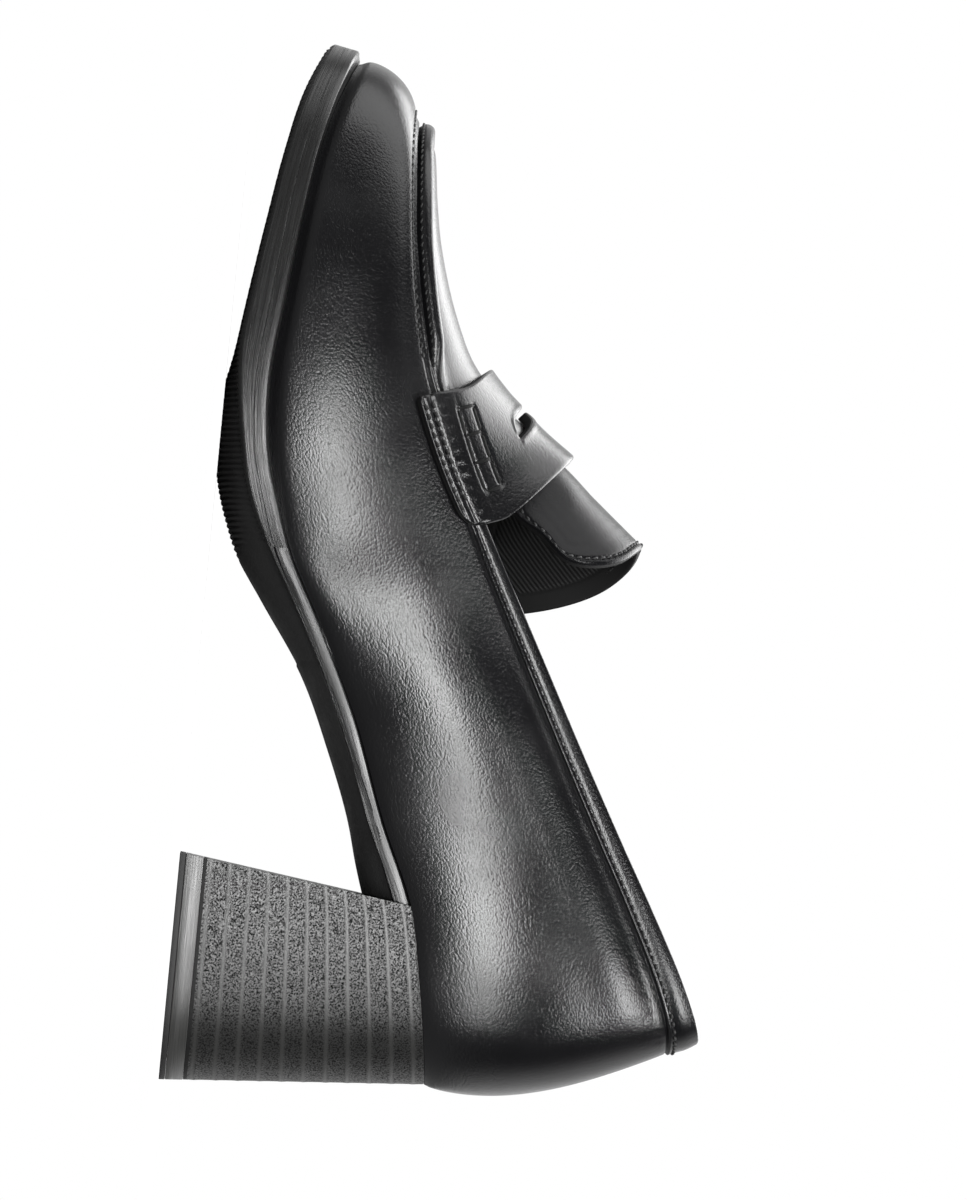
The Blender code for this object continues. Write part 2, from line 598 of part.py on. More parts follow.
def build_outsole(parent):
    """Forepart and waist: level on top, convex below, with a step where the welt layer ends."""
    u = sole_rows(BREAST_ROW)
    step_row = WELT_ROW - STEP_ROOM
    step = np.array([step_row - STEP_HALF, step_row + STEP_HALF])
    u = np.sort(np.concatenate([u, step, 2 * TOE_ROW - step]))
    under_welt = (row_of(u) > step_row) * (WELT_THICK + GAP)
    top_depth = GAP + under_welt
    top = edge_loop(u, "top", top_depth, OUTSOLE_TOP_INSET)
    shoulder = edge_loop(u, "top", top_depth + OUTSOLE_TOP_BEVEL)
    low = edge_loop(u, "bottom", 0.0)
    low[:, 2] = smooth_table(UNDERSIDE, "s", "edge", low[:, 0])
    foot = edge_loop(u, "bottom", 0.0, OUTSOLE_FOOT_BEVEL)
    foot[:, 2] = low[:, 2]
    low[:, 2] += OUTSOLE_FOOT_BEVEL
    middle = smooth_table(UNDERSIDE, "s", "middle", foot[:, 0])
    points, faces = slab([foot, low, shoulder, top], under=middle, segments=8, floor=0.0)
    points[:, 0] = np.maximum(points[:, 0], breast_s(points[:, 2]) + GAP)
    return make_object("outsole", points, faces, BLACK_EDGE, parent)


def heel_loop(share, low, groove=0.0):
    """Loop of the heel at a share of its height between the level low and the seat, cut in by a groove."""
    u = np.linspace(BREAST_ROW, TIP_ROOM, HEEL_COLUMNS)
    u = np.concatenate([u, -u[::-1]])
    seat = ring_line("base", u)
    seat[:, 2] -= GAP
    floor = seat * np.array([0.0, HEEL_FLARE, 0.0])
    back = SECTIONS[0].base_s
    breast = SECTIONS[BREAST_ROW].base_s
    floor[:, 0] = (seat[:, 0] - back) / (breast - back) * HEEL_LENGTH
    height = low + (seat[:, 2] - low) * share
    full = height / seat[:, 2]
    loop = floor + (seat - floor) * full[:, None]
    loop[:, 2] = height
    fade = np.clip((breast - seat[:, 0]) / BREAST_FADE, 0, 1)
    return loop - outward("base", u) * (groove * fade)[:, None]


def flat_heel_layer(name, low, high, finish, parent):
    """Level layer of the heel between two heights."""
    loops = []
    edge = [EdgeRow(low, HEEL_BEVEL), EdgeRow(low + HEEL_BEVEL, 0.0)]
    edge += [EdgeRow(high - HEEL_BEVEL, 0.0), EdgeRow(high, HEEL_BEVEL)]
    for row in edge:
        loop = heel_loop(0.0, row.rise)
        inward = (loop.mean(axis=0) - loop)[:, :2]
        loop[:, :2] += inward / np.linalg.norm(inward, axis=1, keepdims=True) * row.inset
        loops.append(loop)
    points, faces = slab(loops, segments=2)
    return make_object(name, points, faces, finish, parent)


def build_heel(parent):
    """Stack of lifts with a groove between each, over a smooth slab and a thin rubber layer."""
    flat_heel_layer("heel_top_lift", 0.0, TOP_LIFT_THICK, BLACK_RUBBER, parent)
    slab_low = TOP_LIFT_THICK + GAP
    flat_heel_layer("heel_slab", slab_low, slab_low + SLAB_THICK, GREY_STACK, parent)
    stack_low = slab_low + SLAB_THICK + GAP
    loops = []
    for lift in range(LIFT_COUNT):
        loops.append(heel_loop(lift / LIFT_COUNT, stack_low, LIFT_GROOVE))
        loops.append(heel_loop((lift + LIFT_RIDGE) / LIFT_COUNT, stack_low))
    loops.append(heel_loop(1.0, stack_low, LIFT_GROOVE / 2))
    points, faces = slab(loops, segments=2)
    return make_object("heel_block", points, faces, GREY_STACK, parent)


def main():
    for old in list(bpy.data.objects):
        bpy.data.objects.remove(old, do_unlink=True)
    origin = bpy.data.objects.new("shoe_origin", None)
    bpy.context.collection.objects.link(origin)
    build_outsole(origin)
    build_welt(origin)
    build_heel(origin)
    build_insole(origin)
    build_upper(origin)
    build_strap(origin)
    build_tongue(origin)
    corners = np.concatenate([
        np.array([corner.co for corner in piece.data.vertices]) for piece in origin.children
    ])
    low = corners.min(axis=0)
    high = corners.max(axis=0)
    origin.location = (-(low[0] + high[0]) / 2, -(low[1] + high[1]) / 2, -low[2])


main()
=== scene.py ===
# %% [markdown]
# A left block-heeled loafer is dressed here around its CAD solids. The solids keep the shape of the last for
# the physics. Each visible piece is worked out again from the same tables, only much finer, so that it lies
# where its solid lies and can carry grain, stitches, rolled edges and soft creases.

from collections import namedtuple

import bmesh
import bpy
import numpy as np
from mathutils import Matrix, Vector


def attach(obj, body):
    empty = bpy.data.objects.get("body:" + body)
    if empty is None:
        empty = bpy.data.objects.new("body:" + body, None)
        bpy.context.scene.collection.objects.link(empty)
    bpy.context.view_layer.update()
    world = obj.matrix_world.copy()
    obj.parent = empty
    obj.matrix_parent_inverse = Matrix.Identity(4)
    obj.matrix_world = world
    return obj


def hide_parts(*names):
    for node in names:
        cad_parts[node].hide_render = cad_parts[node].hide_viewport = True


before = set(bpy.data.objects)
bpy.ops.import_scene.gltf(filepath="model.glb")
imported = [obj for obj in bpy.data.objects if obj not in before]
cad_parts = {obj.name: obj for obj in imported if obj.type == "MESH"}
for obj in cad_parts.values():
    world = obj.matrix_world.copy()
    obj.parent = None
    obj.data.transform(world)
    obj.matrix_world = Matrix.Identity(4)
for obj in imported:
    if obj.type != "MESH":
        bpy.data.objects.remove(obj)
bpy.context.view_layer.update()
print("CAD nodes:", sorted(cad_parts))

# %% [markdown]
# A shoe is drawn over a last, the wooden form of the foot. The last could be sculpted, but a short table of
# sections is easier to read and to change: each row is one section from the heel to the toe, with the feather
# line where the upper meets the sole, the top line, and the half widths to both sides. All table sizes are
# millimetres: s runs forward from the back of the heel, x to the outer side and z up from the floor.

# %% Tables of the last
MILLIMETRE = 0.001
ORIGIN_S = 123.68
ORIGIN_X = 0.74
WALL = 1.8
GAP = 0.3

Section = namedtuple("Section", "base_s base_z base_lat base_med top_s top_z top_lat top_med bulge roundness")
SECTIONS = [
    Section(4.6, 62.4, 0.0, 0.0, 20.5, 125.2, 0.0, 0.0, 6.0, 0.0),
    Section(7.5, 61.9, 12.5, 12.5, 21.6, 125.0, 6.5, 6.5, 6.0, 0.0),
    Section(15.5, 60.7, 21.5, 21.2, 26.0, 123.6, 11.5, 11.5, 6.0, 0.0),
    Section(29.0, 58.4, 26.0, 25.3, 36.0, 118.9, 15.5, 15.5, 5.6, 0.0),
    Section(46.5, 54.7, 27.5, 26.0, 50.0, 111.2, 18.5, 18.3, 5.0, 0.0),
    Section(66.0, 46.2, 28.0, 25.3, 67.0, 101.4, 21.5, 21.0, 4.7, 0.0),
    Section(88.0, 37.9, 29.5, 25.5, 87.0, 90.2, 24.5, 24.0, 4.5, 0.0),
    Section(108.0, 28.2, 33.0, 29.5, 107.0, 79.3, 27.5, 27.0, 4.0, 0.0),
    Section(124.0, 19.6, 37.5, 34.0, 127.0, 68.3, 30.5, 30.0, 3.5, 0.1),
    Section(136.0, 15.2, 40.0, 37.0, 142.5, 60.0, 32.5, 32.0, 3.0, 0.3),
    Section(150.0, 11.5, 41.6, 39.2, 157.0, 53.0, 33.8, 33.3, 2.5, 0.5),
    Section(166.0, 10.5, 41.4, 40.2, 170.5, 47.2, 34.0, 33.6, 2.0, 0.7),
    Section(184.0, 12.2, 39.6, 40.0, 185.0, 43.4, 33.0, 33.0, 1.0, 0.85),
    Section(202.0, 14.2, 36.4, 38.2, 200.0, 40.7, 31.0, 31.5, 0.4, 1.0),
    Section(218.0, 16.5, 32.2, 34.4, 213.0, 39.4, 27.5, 28.0, 0.0, 1.0),
    Section(230.5, 19.5, 26.8, 29.2, 222.3, 38.8, 21.5, 22.5, 0.0, 1.0),
    Section(239.0, 22.4, 19.0, 21.5, 227.8, 38.8, 13.0, 15.0, 0.0, 1.0),
    Section(243.0, 24.0, 9.0, 12.5, 229.8, 38.9, 5.6, 8.0, 0.0, 1.0),
    Section(243.9, 24.4, -1.8, 1.8, 230.3, 39.0, -1.2, 1.2, 0.0, 1.0),
]
TOE_ROW = len(SECTIONS) - 1
THROAT_ROW = 9
BREAST_ROW = 4
SWELL_POWER = 0.8

Crown = namedtuple("Crown", "row s z lift")
CROWNS = [
    Crown(8, 147.0, 89.2, 2.6),
    Crown(9, 156.5, 76.5, 3.0),
    Crown(10, 166.0, 65.6, 3.5),
    Crown(11, 175.6, 57.3, 4.0),
    Crown(12, 187.2, 51.8, 4.0),
    Crown(13, 200.6, 47.6, 4.0),
    Crown(14, 211.0, 45.6, 4.0),
    Crown(15, 218.2, 44.7, 4.0),
    Crown(16, 222.6, 44.1, 4.0),
    Crown(17, 224.7, 43.4, 4.0),
    Crown(18, 225.3, 43.0, 4.0),
]
APRON_ARCH = 3.2
PANEL_INSET = 5.0       # the apron panel starts this far inside the seam
print("sections:", len(SECTIONS), "crown rows:", len(CROWNS))

# %% Curves through the tables
def closed_curve(lateral, medial, u):
    """Catmull-Rom curve through the rows of the outer side and back along the inner side, at positions u."""
    values = np.concatenate([lateral, np.asarray(medial)[-2:0:-1]])
    i = np.floor(u).astype(int)
    f = u - i
    a, b, c, d = (values[(i + step) % len(values)] for step in (-1, 0, 1, 2))
    return b + 0.5 * f * (c - a + f * (2 * a - 5 * b + 4 * c - d + f * (3 * b - a - 3 * c + d)))


def smooth_table(rows, key, column, at):
    """Cubic curve through one column of a table along its key column, with the mean slope at each row."""
    x = np.array([getattr(row, key) for row in rows], float)
    y = np.array([getattr(row, column) for row in rows], float)
    slope = np.gradient(y, x)
    i = np.clip(np.searchsorted(x, at) - 1, 0, len(x) - 2)
    width = x[i + 1] - x[i]
    f = np.clip((at - x[i]) / width, 0.0, 1.0)
    low = y[i] * (1 + 2 * f) + slope[i] * width * f
    high = y[i + 1] * (3 - 2 * f) - slope[i + 1] * width * (1 - f)
    return low * (1 - f) ** 2 + high * f ** 2


def ease(low, high, value):
    """Smooth step: 0 below low, 1 above high, and 3f^2 - 2f^3 between."""
    f = np.clip((value - low) / (high - low), 0.0, 1.0)
    return f * f * (3 - 2 * f)


def hump(value, middle, width):
    """Bell curve exp(-(distance / width)^2) round a middle."""
    return np.exp(-((value - middle) / width) ** 2)


Bell = namedtuple("Bell", "place half high")


def bells(value, rows):
    """Sum of bell curves, each with its own place, half width and height."""
    return sum(row.high * hump(value, row.place, row.half) for row in rows)


def row_of(u):
    """Section row of a position round the shoe: the way back along the inner side mirrors the outer."""
    around = np.mod(u, 2 * TOE_ROW)
    return TOE_ROW - np.abs(around - TOE_ROW)


def column_of(name):
    """One column of the table of sections."""
    return np.array([getattr(row, name) for row in SECTIONS])


print("widest half of the base:", column_of("base_lat").max(), "mm")

# %% Surfaces of the last
TURN_STEP = 0.02
TINY = 1e-12


def unit(vectors):
    """Vectors divided by their own lengths."""
    return vectors / np.maximum(np.linalg.norm(vectors, axis=-1, keepdims=True), TINY)


def ring_line(level, u):
    """Points (s, x, z) of the base or top line at positions u round the shoe."""
    s = closed_curve(column_of(level + "_s"), column_of(level + "_s"), u)
    x = closed_curve(column_of(level + "_lat"), -column_of(level + "_med"), u)
    z = closed_curve(column_of(level + "_z"), column_of(level + "_z"), u)
    return np.stack([s, x, z], axis=-1)


def outward(level, u):
    """Level unit vectors square to the base or top line, pointing out of the shoe."""
    along = ring_line(level, u + TURN_STEP) - ring_line(level, u - TURN_STEP)
    out = np.stack([-along[..., 1], along[..., 0], np.zeros_like(u)], axis=-1)
    return unit(out)


def wall(u, v):
    """Wall at position u and share v of its height: a line from base to top that turns into a quarter
    ellipse as roundness goes to 1, plus a swell of bulge times sin(pi v^0.8)."""
    u, v = np.broadcast_arrays(np.asarray(u, float), np.asarray(v, float))
    base = ring_line("base", u)
    top = ring_line("top", u)
    bulge = closed_curve(column_of("bulge"), column_of("bulge"), u)
    turn = closed_curve(column_of("roundness"), column_of("roundness"), u)
    inward_share = (1 - turn) * v + turn * (1 - np.cos(v * np.pi / 2))
    height_share = (1 - turn) * v + turn * np.sin(v * np.pi / 2)
    share = np.stack([inward_share, inward_share, height_share], axis=-1)
    swell = bulge * np.sin(np.pi * v ** SWELL_POWER)
    return base + (top - base) * share + outward("base", u) * swell[..., None]


def seam_point(u, inset, rise):
    """Border of the apron: the top line moved in by inset and up by a share of the panel's lift."""
    point = ring_line("top", u) - outward("top", u) * np.asarray(inset)[..., None]
    point[..., 2] += rise * smooth_table(CROWNS, "row", "lift", row_of(u))
    return point


def apron(row, across):
    """Apron panel: a line from border to border, across -1 to 1, raised to the crown by 1 - |across|^3.2."""
    row, across = np.broadcast_arrays(np.asarray(row, float), np.asarray(across, float))
    outer = seam_point(row, PANEL_INSET, 1.0)
    inner = seam_point(2 * TOE_ROW - row, PANEL_INSET, 1.0)
    point = outer + (inner - outer) * ((across + 1) / 2)[..., None]
    arch = 1 - np.abs(across) ** APRON_ARCH
    middle = (outer + inner) / 2
    point[..., 0] += (smooth_table(CROWNS, "row", "s", row) - middle[..., 0]) * arch
    point[..., 2] += (smooth_table(CROWNS, "row", "z", row) - middle[..., 2]) * arch
    return point


print("crown at the throat:", apron(THROAT_ROW, 0.0).round(1))

# %% [markdown]
# Every piece is a grid of points, so a few helpers turn grids into meshes. Blender's own primitives and
# sculpting could be used, but whole arrays keep the shapes exact. Points that fall on one another, at poles
# and seams, are merged, and faces are turned outwards before shading.

# %% Mesh helpers
MERGE = 2e-6            # points closer than this become one, in metres
SHARP = np.radians(50.0)


def numbers(shape, start=0):
    """Numbers of the points of a grid, counted along its rows from start."""
    return start + np.arange(np.prod(shape)).reshape(shape)


def quads(index, closed=False):
    """Corner numbers of the four-sided faces of a grid of point numbers, closed along its rows if asked."""
    if closed:
        index = np.concatenate([index, index[:, :1]], axis=1)
    corners = [index[:-1, :-1], index[:-1, 1:], index[1:, 1:], index[1:, :-1]]
    return np.stack(corners, axis=-1).reshape(-1, 4)


def sheet_normals(points, faces):
    """Unit sum of the face directions round each point; a face's direction is the cross of its diagonals."""
    across = points[faces[:, 2]] - points[faces[:, 0]]
    along = points[faces[:, 3]] - points[faces[:, 1]]
    direction = np.cross(across, along)
    total = np.zeros_like(points)
    for corner in range(4):
        np.add.at(total, faces[:, corner], direction)
    return unit(total)


def free_edges(faces):
    """Directed edges that belong to one face alone, as pairs of point numbers."""
    start = faces.reshape(-1)
    end = np.roll(faces, -1, axis=1).reshape(-1)
    real = start != end
    start, end = start[real], end[real]
    size = int(faces.max()) + 1
    alone = ~np.isin(start * size + end, end * size + start)
    return np.stack([start[alone], end[alone]], axis=1)


def thicken(points, faces, outer, inner, normals=None):
    """Closed shell between two offsets of a sheet along its normals, with a strip of faces round each rim."""
    if normals is None:
        normals = sheet_normals(points, faces)
    count = len(points)
    shell = np.concatenate([points + normals * outer[:, None], points + normals * inner[:, None]])
    edge = free_edges(faces)
    rim = np.stack([edge[:, 1], edge[:, 0], edge[:, 0] + count, edge[:, 1] + count], axis=1)
    return shell, np.concatenate([faces, faces[:, ::-1] + count, rim])


def to_world(points):
    """Shoe sizes to the frame: X is x less ORIGIN_X, Y is ORIGIN_S less s, Z is z, all in metres."""
    world = np.stack([points[:, 1] - ORIGIN_X, ORIGIN_S - points[:, 0], points[:, 2]], axis=-1)
    return world * MILLIMETRE


def make_piece(name, points, faces, materials, replaces=(), face_material=None, chart=None):
    """One mesh object from arrays: face_material numbers the faces' materials, chart holds a UV per point."""
    mesh = bpy.data.meshes.new(name)
    mesh.vertices.add(len(points))
    mesh.vertices.foreach_set("co", to_world(points).astype(np.float32).ravel())
    mesh.loops.add(faces.size)
    mesh.loops.foreach_set("vertex_index", faces.astype(np.int32).ravel())
    mesh.polygons.add(len(faces))
    mesh.polygons.foreach_set("loop_start", np.arange(0, faces.size, 4, dtype=np.int32))
    if face_material is not None:
        mesh.polygons.foreach_set("material_index", face_material.astype(np.int32))
    if chart is not None:
        layer = mesh.uv_layers.new(name="chart")
        layer.data.foreach_set("uv", chart[faces.ravel()].astype(np.float32).ravel())
    mesh.update(calc_edges=True)
    shape = bmesh.new()
    shape.from_mesh(mesh)
    bmesh.ops.remove_doubles(shape, verts=shape.verts, dist=MERGE)
    bmesh.ops.dissolve_degenerate(shape, edges=shape.edges, dist=MERGE)
    bmesh.ops.recalc_face_normals(shape, faces=shape.faces)
    open_edges = sum(not edge.is_manifold for edge in shape.edges)
    shape.to_mesh(mesh)
    shape.free()
    mesh.shade_smooth()
    mesh.set_sharp_from_angle(angle=SHARP)
    for material in materials:
        mesh.materials.append(material)
    piece = bpy.data.objects.new(name, mesh)
    bpy.context.scene.collection.objects.link(piece)
    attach(piece, "root")
    for node in replaces:
        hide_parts(node)
    mesh.calc_loop_triangles()
    print(name, "triangles:", len(mesh.loop_triangles), "open edges:", open_edges)
    return piece


print("helpers ready")

# %% [markdown]
# The camera looks at the outer side of the shoe, nearly square to it, and is rolled so that the toe points
# up. The light is a studio one: a wide soft box beside the camera draws the long highlights on the wall, and
# boxes at the heel, over the shoe and before the toe draw the grey edges. The room is dark on the camera's
# side and bright behind the shoe, which draws its pale rims. Lamps could be parented to the camera, but then
# the other views would have no fixed light.

# %% Camera
SENSOR = 36.0
CAMERA_FAR = 2.0
CAMERA_BACK = 0.055     # towards the heel: the picture shows nothing of the heel's front face
CAMERA_HIGH = 0.004
VIEW_HIGH = 0.283       # height of the picture at the shoe, in metres
TOE_LEAN = np.radians(5.44)
AIM = Vector((0.0, 0.004, 0.0655))

camera_data = bpy.data.cameras.new("camera")
camera = bpy.data.objects.new("camera", camera_data)
bpy.context.scene.collection.objects.link(camera)
camera.location = (CAMERA_FAR, CAMERA_BACK, CAMERA_HIGH)
back = (camera.location - AIM).normalized()
toe_up = Vector((0.0, -np.cos(TOE_LEAN), -np.sin(TOE_LEAN)))
right = toe_up.cross(back).normalized()
toe_up = back.cross(right)
turn = Matrix((right, toe_up, back)).transposed()
camera.rotation_mode = "QUATERNION"
camera.rotation_quaternion = turn.to_quaternion()
camera_data.sensor_width = SENSOR
camera_data.lens = SENSOR * CAMERA_FAR / VIEW_HIGH
bpy.context.scene.camera = camera
print("camera lens:", round(camera_data.lens), "mm")

# %% Soft boxes
SoftBox = namedtuple("SoftBox", "name place wide high watts")
SOFT_BOXES = [
    SoftBox("key", (2.4, 0.19, 0.36), 1.17, 0.68, 48.0),
    SoftBox("heel_side", (1.55, 0.85, 2.05), 1.5, 0.6, 54.0),
    SoftBox("heel_low", (2.1, 1.13, 0.2), 0.75, 0.3, 14.0),
    SoftBox("overhead", (-1.35, -0.55, 1.95), 2.4, 2.4, 92.0),
    SoftBox("toe_side", (0.5, -2.0, 1.1), 2.0, 2.2, 36.0),
]
LIGHT_AIM = Vector((0.0, 0.0, 0.05))

for box in SOFT_BOXES:
    lamp = bpy.data.lights.new(box.name, "AREA")
    lamp.shape = "RECTANGLE"
    lamp.size = box.wide
    lamp.size_y = box.high
    lamp.energy = box.watts
    lamp_object = bpy.data.objects.new(box.name, lamp)
    bpy.context.scene.collection.objects.link(lamp_object)
    lamp_object.location = box.place
    aim = LIGHT_AIM - Vector(box.place)
    lamp_object.rotation_mode = "QUATERNION"
    lamp_object.rotation_quaternion = aim.to_track_quat("-Z", "Y")
    lamp_object.visible_camera = False
print("soft boxes:", [box.name for box in SOFT_BOXES])

# %% Shader node helpers
def feed(tree, socket, value):
    """Links an input to another node's output, or sets it to a value."""
    if isinstance(value, bpy.types.NodeSocket):
        tree.links.new(value, socket)
    else:
        socket.default_value = value


def add_node(tree, kind, settings=None, **inputs):
    """Adds a shader node: settings are its properties, and its inputs are fed by their names."""
    made = tree.nodes.new(kind)
    for key, value in (settings or {}).items():
        setattr(made, key, value)
    for key, value in inputs.items():
        feed(tree, made.inputs[key.replace("_", " ")], value)
    return made


def maths(tree, operation, *values):
    """Result of a Math node on its values."""
    made = add_node(tree, "ShaderNodeMath", {"operation": operation})
    for socket, value in zip(made.inputs, values):
        feed(tree, socket, value)
    return made.outputs[0]


def stretch_to(tree, value, low, high, reach=(0.0, 1.0), curve="LINEAR"):
    """Value stretched so that what lies within reach runs from low to high."""
    return add_node(tree, "ShaderNodeMapRange", {"interpolation_type": curve}, Value=value, From_Min=reach[0],
                    From_Max=reach[1], To_Min=low, To_Max=high).outputs[0]


def object_place(tree):
    """Place on a piece, in the piece's own coordinates."""
    return add_node(tree, "ShaderNodeTexCoord").outputs["Object"]


def start_material(name, colour, roughness, **sockets):
    """Principled material with its constants set on the shader's own sockets."""
    material = bpy.data.materials.new(name)
    material.use_nodes = True
    tree = material.node_tree
    shader = tree.nodes["Principled BSDF"]
    for key, value in {"Base_Color": (*colour, 1.0), "Roughness": roughness, **sockets}.items():
        feed(tree, shader.inputs[key.replace("_", " ")], value)
    return material, tree, shader


print("node helpers ready")

# %% World
WORLD_NEAR = 0.03       # brightness of the room on the camera's side
WORLD_FAR = 0.85        # and behind the shoe
WORLD_CHANGE = (-0.6, -0.05)    # it changes between these directions along X

world = bpy.data.worlds.new("studio")
bpy.context.scene.world = world
world.use_nodes = True
tree = world.node_tree
background = tree.nodes["Background"]
direction = add_node(tree, "ShaderNodeTexCoord").outputs["Generated"]
side = add_node(tree, "ShaderNodeSeparateXYZ", Vector=direction).outputs["X"]
fill = stretch_to(tree, side, WORLD_FAR, WORLD_NEAR, WORLD_CHANGE)
seen = add_node(tree, "ShaderNodeLightPath").outputs["Is Camera Ray"]
shown = add_node(tree, "ShaderNodeMix", Factor=seen, A=fill, B=1.0)
feed(tree, background.inputs["Strength"], shown.outputs[0])
feed(tree, background.inputs["Color"], (1.0, 1.0, 1.0, 1.0))
bpy.context.scene.view_settings.view_transform = "Standard"
print("room brightness from", WORLD_NEAR, "to", WORLD_FAR)

# %% Floor
FLOOR_HALF = 8.0
FLOOR_SIDES = 64
FLOOR_PALE = 0.86       # its tone in the picture
FLOOR_DIM = 0.12        # its tone in the shoe's reflections, as if dark cloth lay beside the shoe
GLOW_LEAST = 0.85       # share of plain white in its tone, near the shoe
GLOW_CHANGE = (0.22, 0.75)      # it is white alone beyond these distances from the shoe, in metres

floor_mesh = bpy.data.meshes.new("floor")
turns = np.linspace(0, 2 * np.pi, FLOOR_SIDES, endpoint=False)
disc = np.stack([np.cos(turns), np.sin(turns), np.zeros(FLOOR_SIDES)], axis=-1) * FLOOR_HALF
floor_mesh.from_pydata(disc.tolist(), [], [list(range(FLOOR_SIDES))])
floor = bpy.data.objects.new("floor", floor_mesh)
bpy.context.scene.collection.objects.link(floor)
paper, tree, shader = start_material("white_paper", (FLOOR_PALE,) * 3, 0.9, Specular_IOR_Level=0.0)
away = add_node(tree, "ShaderNodeVectorMath", {"operation": "LENGTH"}, Vector=object_place(tree))
spread = stretch_to(tree, away.outputs["Value"], GLOW_LEAST, 1.0, GLOW_CHANGE, "SMOOTHSTEP")
seen = add_node(tree, "ShaderNodeLightPath").outputs["Is Camera Ray"]
feed(tree, shader.inputs["Base Color"], stretch_to(tree, seen, FLOOR_DIM, FLOOR_PALE))
glow = add_node(tree, "ShaderNodeEmission", Strength=1.0)
both = add_node(tree, "ShaderNodeMixShader")
feed(tree, both.inputs[0], maths(tree, "MULTIPLY", spread, seen))
feed(tree, both.inputs[1], shader.outputs[0])
feed(tree, both.inputs[2], glow.outputs[0])
feed(tree, tree.nodes["Material Output"].inputs["Surface"], both.outputs[0])
floor_mesh.materials.append(paper)
print("floor radius:", FLOOR_HALF, "m")

# %% [markdown]
# The leather is smooth black box calf: fine rounded grain, drawn out a little one way, with a soft shine. The
# tongue's is finished duller, and the lining and the sock are rougher. Photographs of leather could be
# projected on it; a Voronoi pattern on the piece's own coordinates is sharper and has no seams. The distance
# from a cell's middle makes the pebbles, noise breaks them up, and a slow noise changes the shine from place
# to place.

# %% Leathers
GRAIN_TURN = (0.7, 0.15, 0.2)
GRAIN_DRAWN = 1.3       # a cell is longer one way by this factor
GRAIN_RANDOM = 0.95
PORE_SCALE = 2.3        # against the cells
PORE_HIGH = 0.2
PORE_DETAIL = 3.0
SHINE_SCALE = 45.0
SHINE_REACH = (0.15, 0.85)
SMOOTHER, ROUGHER = 0.09, 0.10      # most that the slow noise changes the roughness
CALF_BLACK = (0.004, 0.004, 0.0045)
CALF_CELL, CALF_DEPTH = 0.00052, 0.000036
LINING_DEPTH = 0.000025


def vary(tree, vector, scale, low, high, detail=2.0, reach=(0.3, 0.7)):
    """Noise at a scale, stretched so that its values within reach run from low to high."""
    noise = add_node(tree, "ShaderNodeTexNoise", Vector=vector, Scale=scale, Detail=detail)
    return stretch_to(tree, noise.outputs[0], low, high, reach)


def drawn_out(tree, vector, sizes, turn=(0.0, 0.0, 0.0)):
    """Coordinates turned, and counted in cells of these sizes."""
    return add_node(tree, "ShaderNodeMapping", {"vector_type": "TEXTURE"}, Vector=vector, Rotation=turn,
                    Scale=sizes).outputs[0]


def emboss(tree, shader, height, depth, strength=1.0):
    """Lets a height, times a depth in metres, turn the shader's normal."""
    bump = add_node(tree, "ShaderNodeBump", Strength=strength, Distance=depth, Height=height)
    feed(tree, shader.inputs["Normal"], bump.outputs[0])


def leather(name, colour, roughness, cell, depth, **sockets):
    """Leather whose height is noise less the square of the distance to the nearest cell middle."""
    material, tree, shader = start_material(name, colour, roughness, **sockets)
    place = object_place(tree)
    grain = drawn_out(tree, place, (cell, cell * GRAIN_DRAWN, cell), GRAIN_TURN)
    cells = add_node(tree, "ShaderNodeTexVoronoi", Vector=grain, Scale=1.0, Randomness=GRAIN_RANDOM)
    pebble = maths(tree, "MULTIPLY", cells.outputs["Distance"], cells.outputs["Distance"])
    pores = vary(tree, grain, PORE_SCALE, -PORE_HIGH, PORE_HIGH, PORE_DETAIL)
    emboss(tree, shader, maths(tree, "SUBTRACT", pores, pebble), depth)
    shine = vary(tree, place, SHINE_SCALE, roughness - SMOOTHER, roughness + ROUGHER, reach=SHINE_REACH)
    feed(tree, shader.inputs["Roughness"], shine)
    return material


upper_leather = leather("black_calf", CALF_BLACK, 0.22, CALF_CELL, CALF_DEPTH)
tongue_leather = leather("tongue_calf", CALF_BLACK, 0.26, CALF_CELL, CALF_DEPTH, Specular_IOR_Level=0.15)
lining_leather = leather("lining_calf", (0.012, 0.011, 0.011), 0.45, 0.00040, LINING_DEPTH)
sock_leather = leather("sock_calf", (0.014, 0.013, 0.013), 0.42, 0.00050, LINING_DEPTH)
print("leathers:", upper_leather.name, tongue_leather.name, lining_leather.name, sock_leather.name)

# %% [markdown]
# The upper is one leather wall round the foot: counter, quarters and vamp, then the raised apron with its
# rolled seam. It could be cut from panels and sewn by simulation, but the last already gives its shape, so it
# is one grid over the last, and the collar band, the lip, the stitched grooves and the creases are small
# heights added along its normals. The same grid moved inwards by the wall's thickness is the lining.

# %% Grid of the wall
ROUND_COLUMNS = 432
WALL_STEPS = 44
BAND_WIDE = 7.0
BAND_NARROW = 4.0
BAND_FADE = 0.6
BAND_ROOM = 0.7         # the even rows of the grid end this far below the band
BORDER_STEPS = (-0.45, -0.3, -0.15, 0.0, 0.15, 0.3, 0.5, 0.8, 1.05, 1.3, 1.55, 1.8, 2.2, 2.6, 3.0, 3.35, 3.65)
BORDER_FIXED = 1.8      # steps beyond this one widen with the band


def wall_height(at):
    """Straight height of the wall from its base line to its top line."""
    return np.linalg.norm(ring_line("top", at) - ring_line("base", at), axis=1)


def band_width(at):
    """Width of the collar band: wide at the heel, narrow at the throat, and evenly changing between."""
    return BAND_WIDE + (BAND_NARROW - BAND_WIDE) * np.clip(row_of(at) / THROAT_ROW, 0, 1)


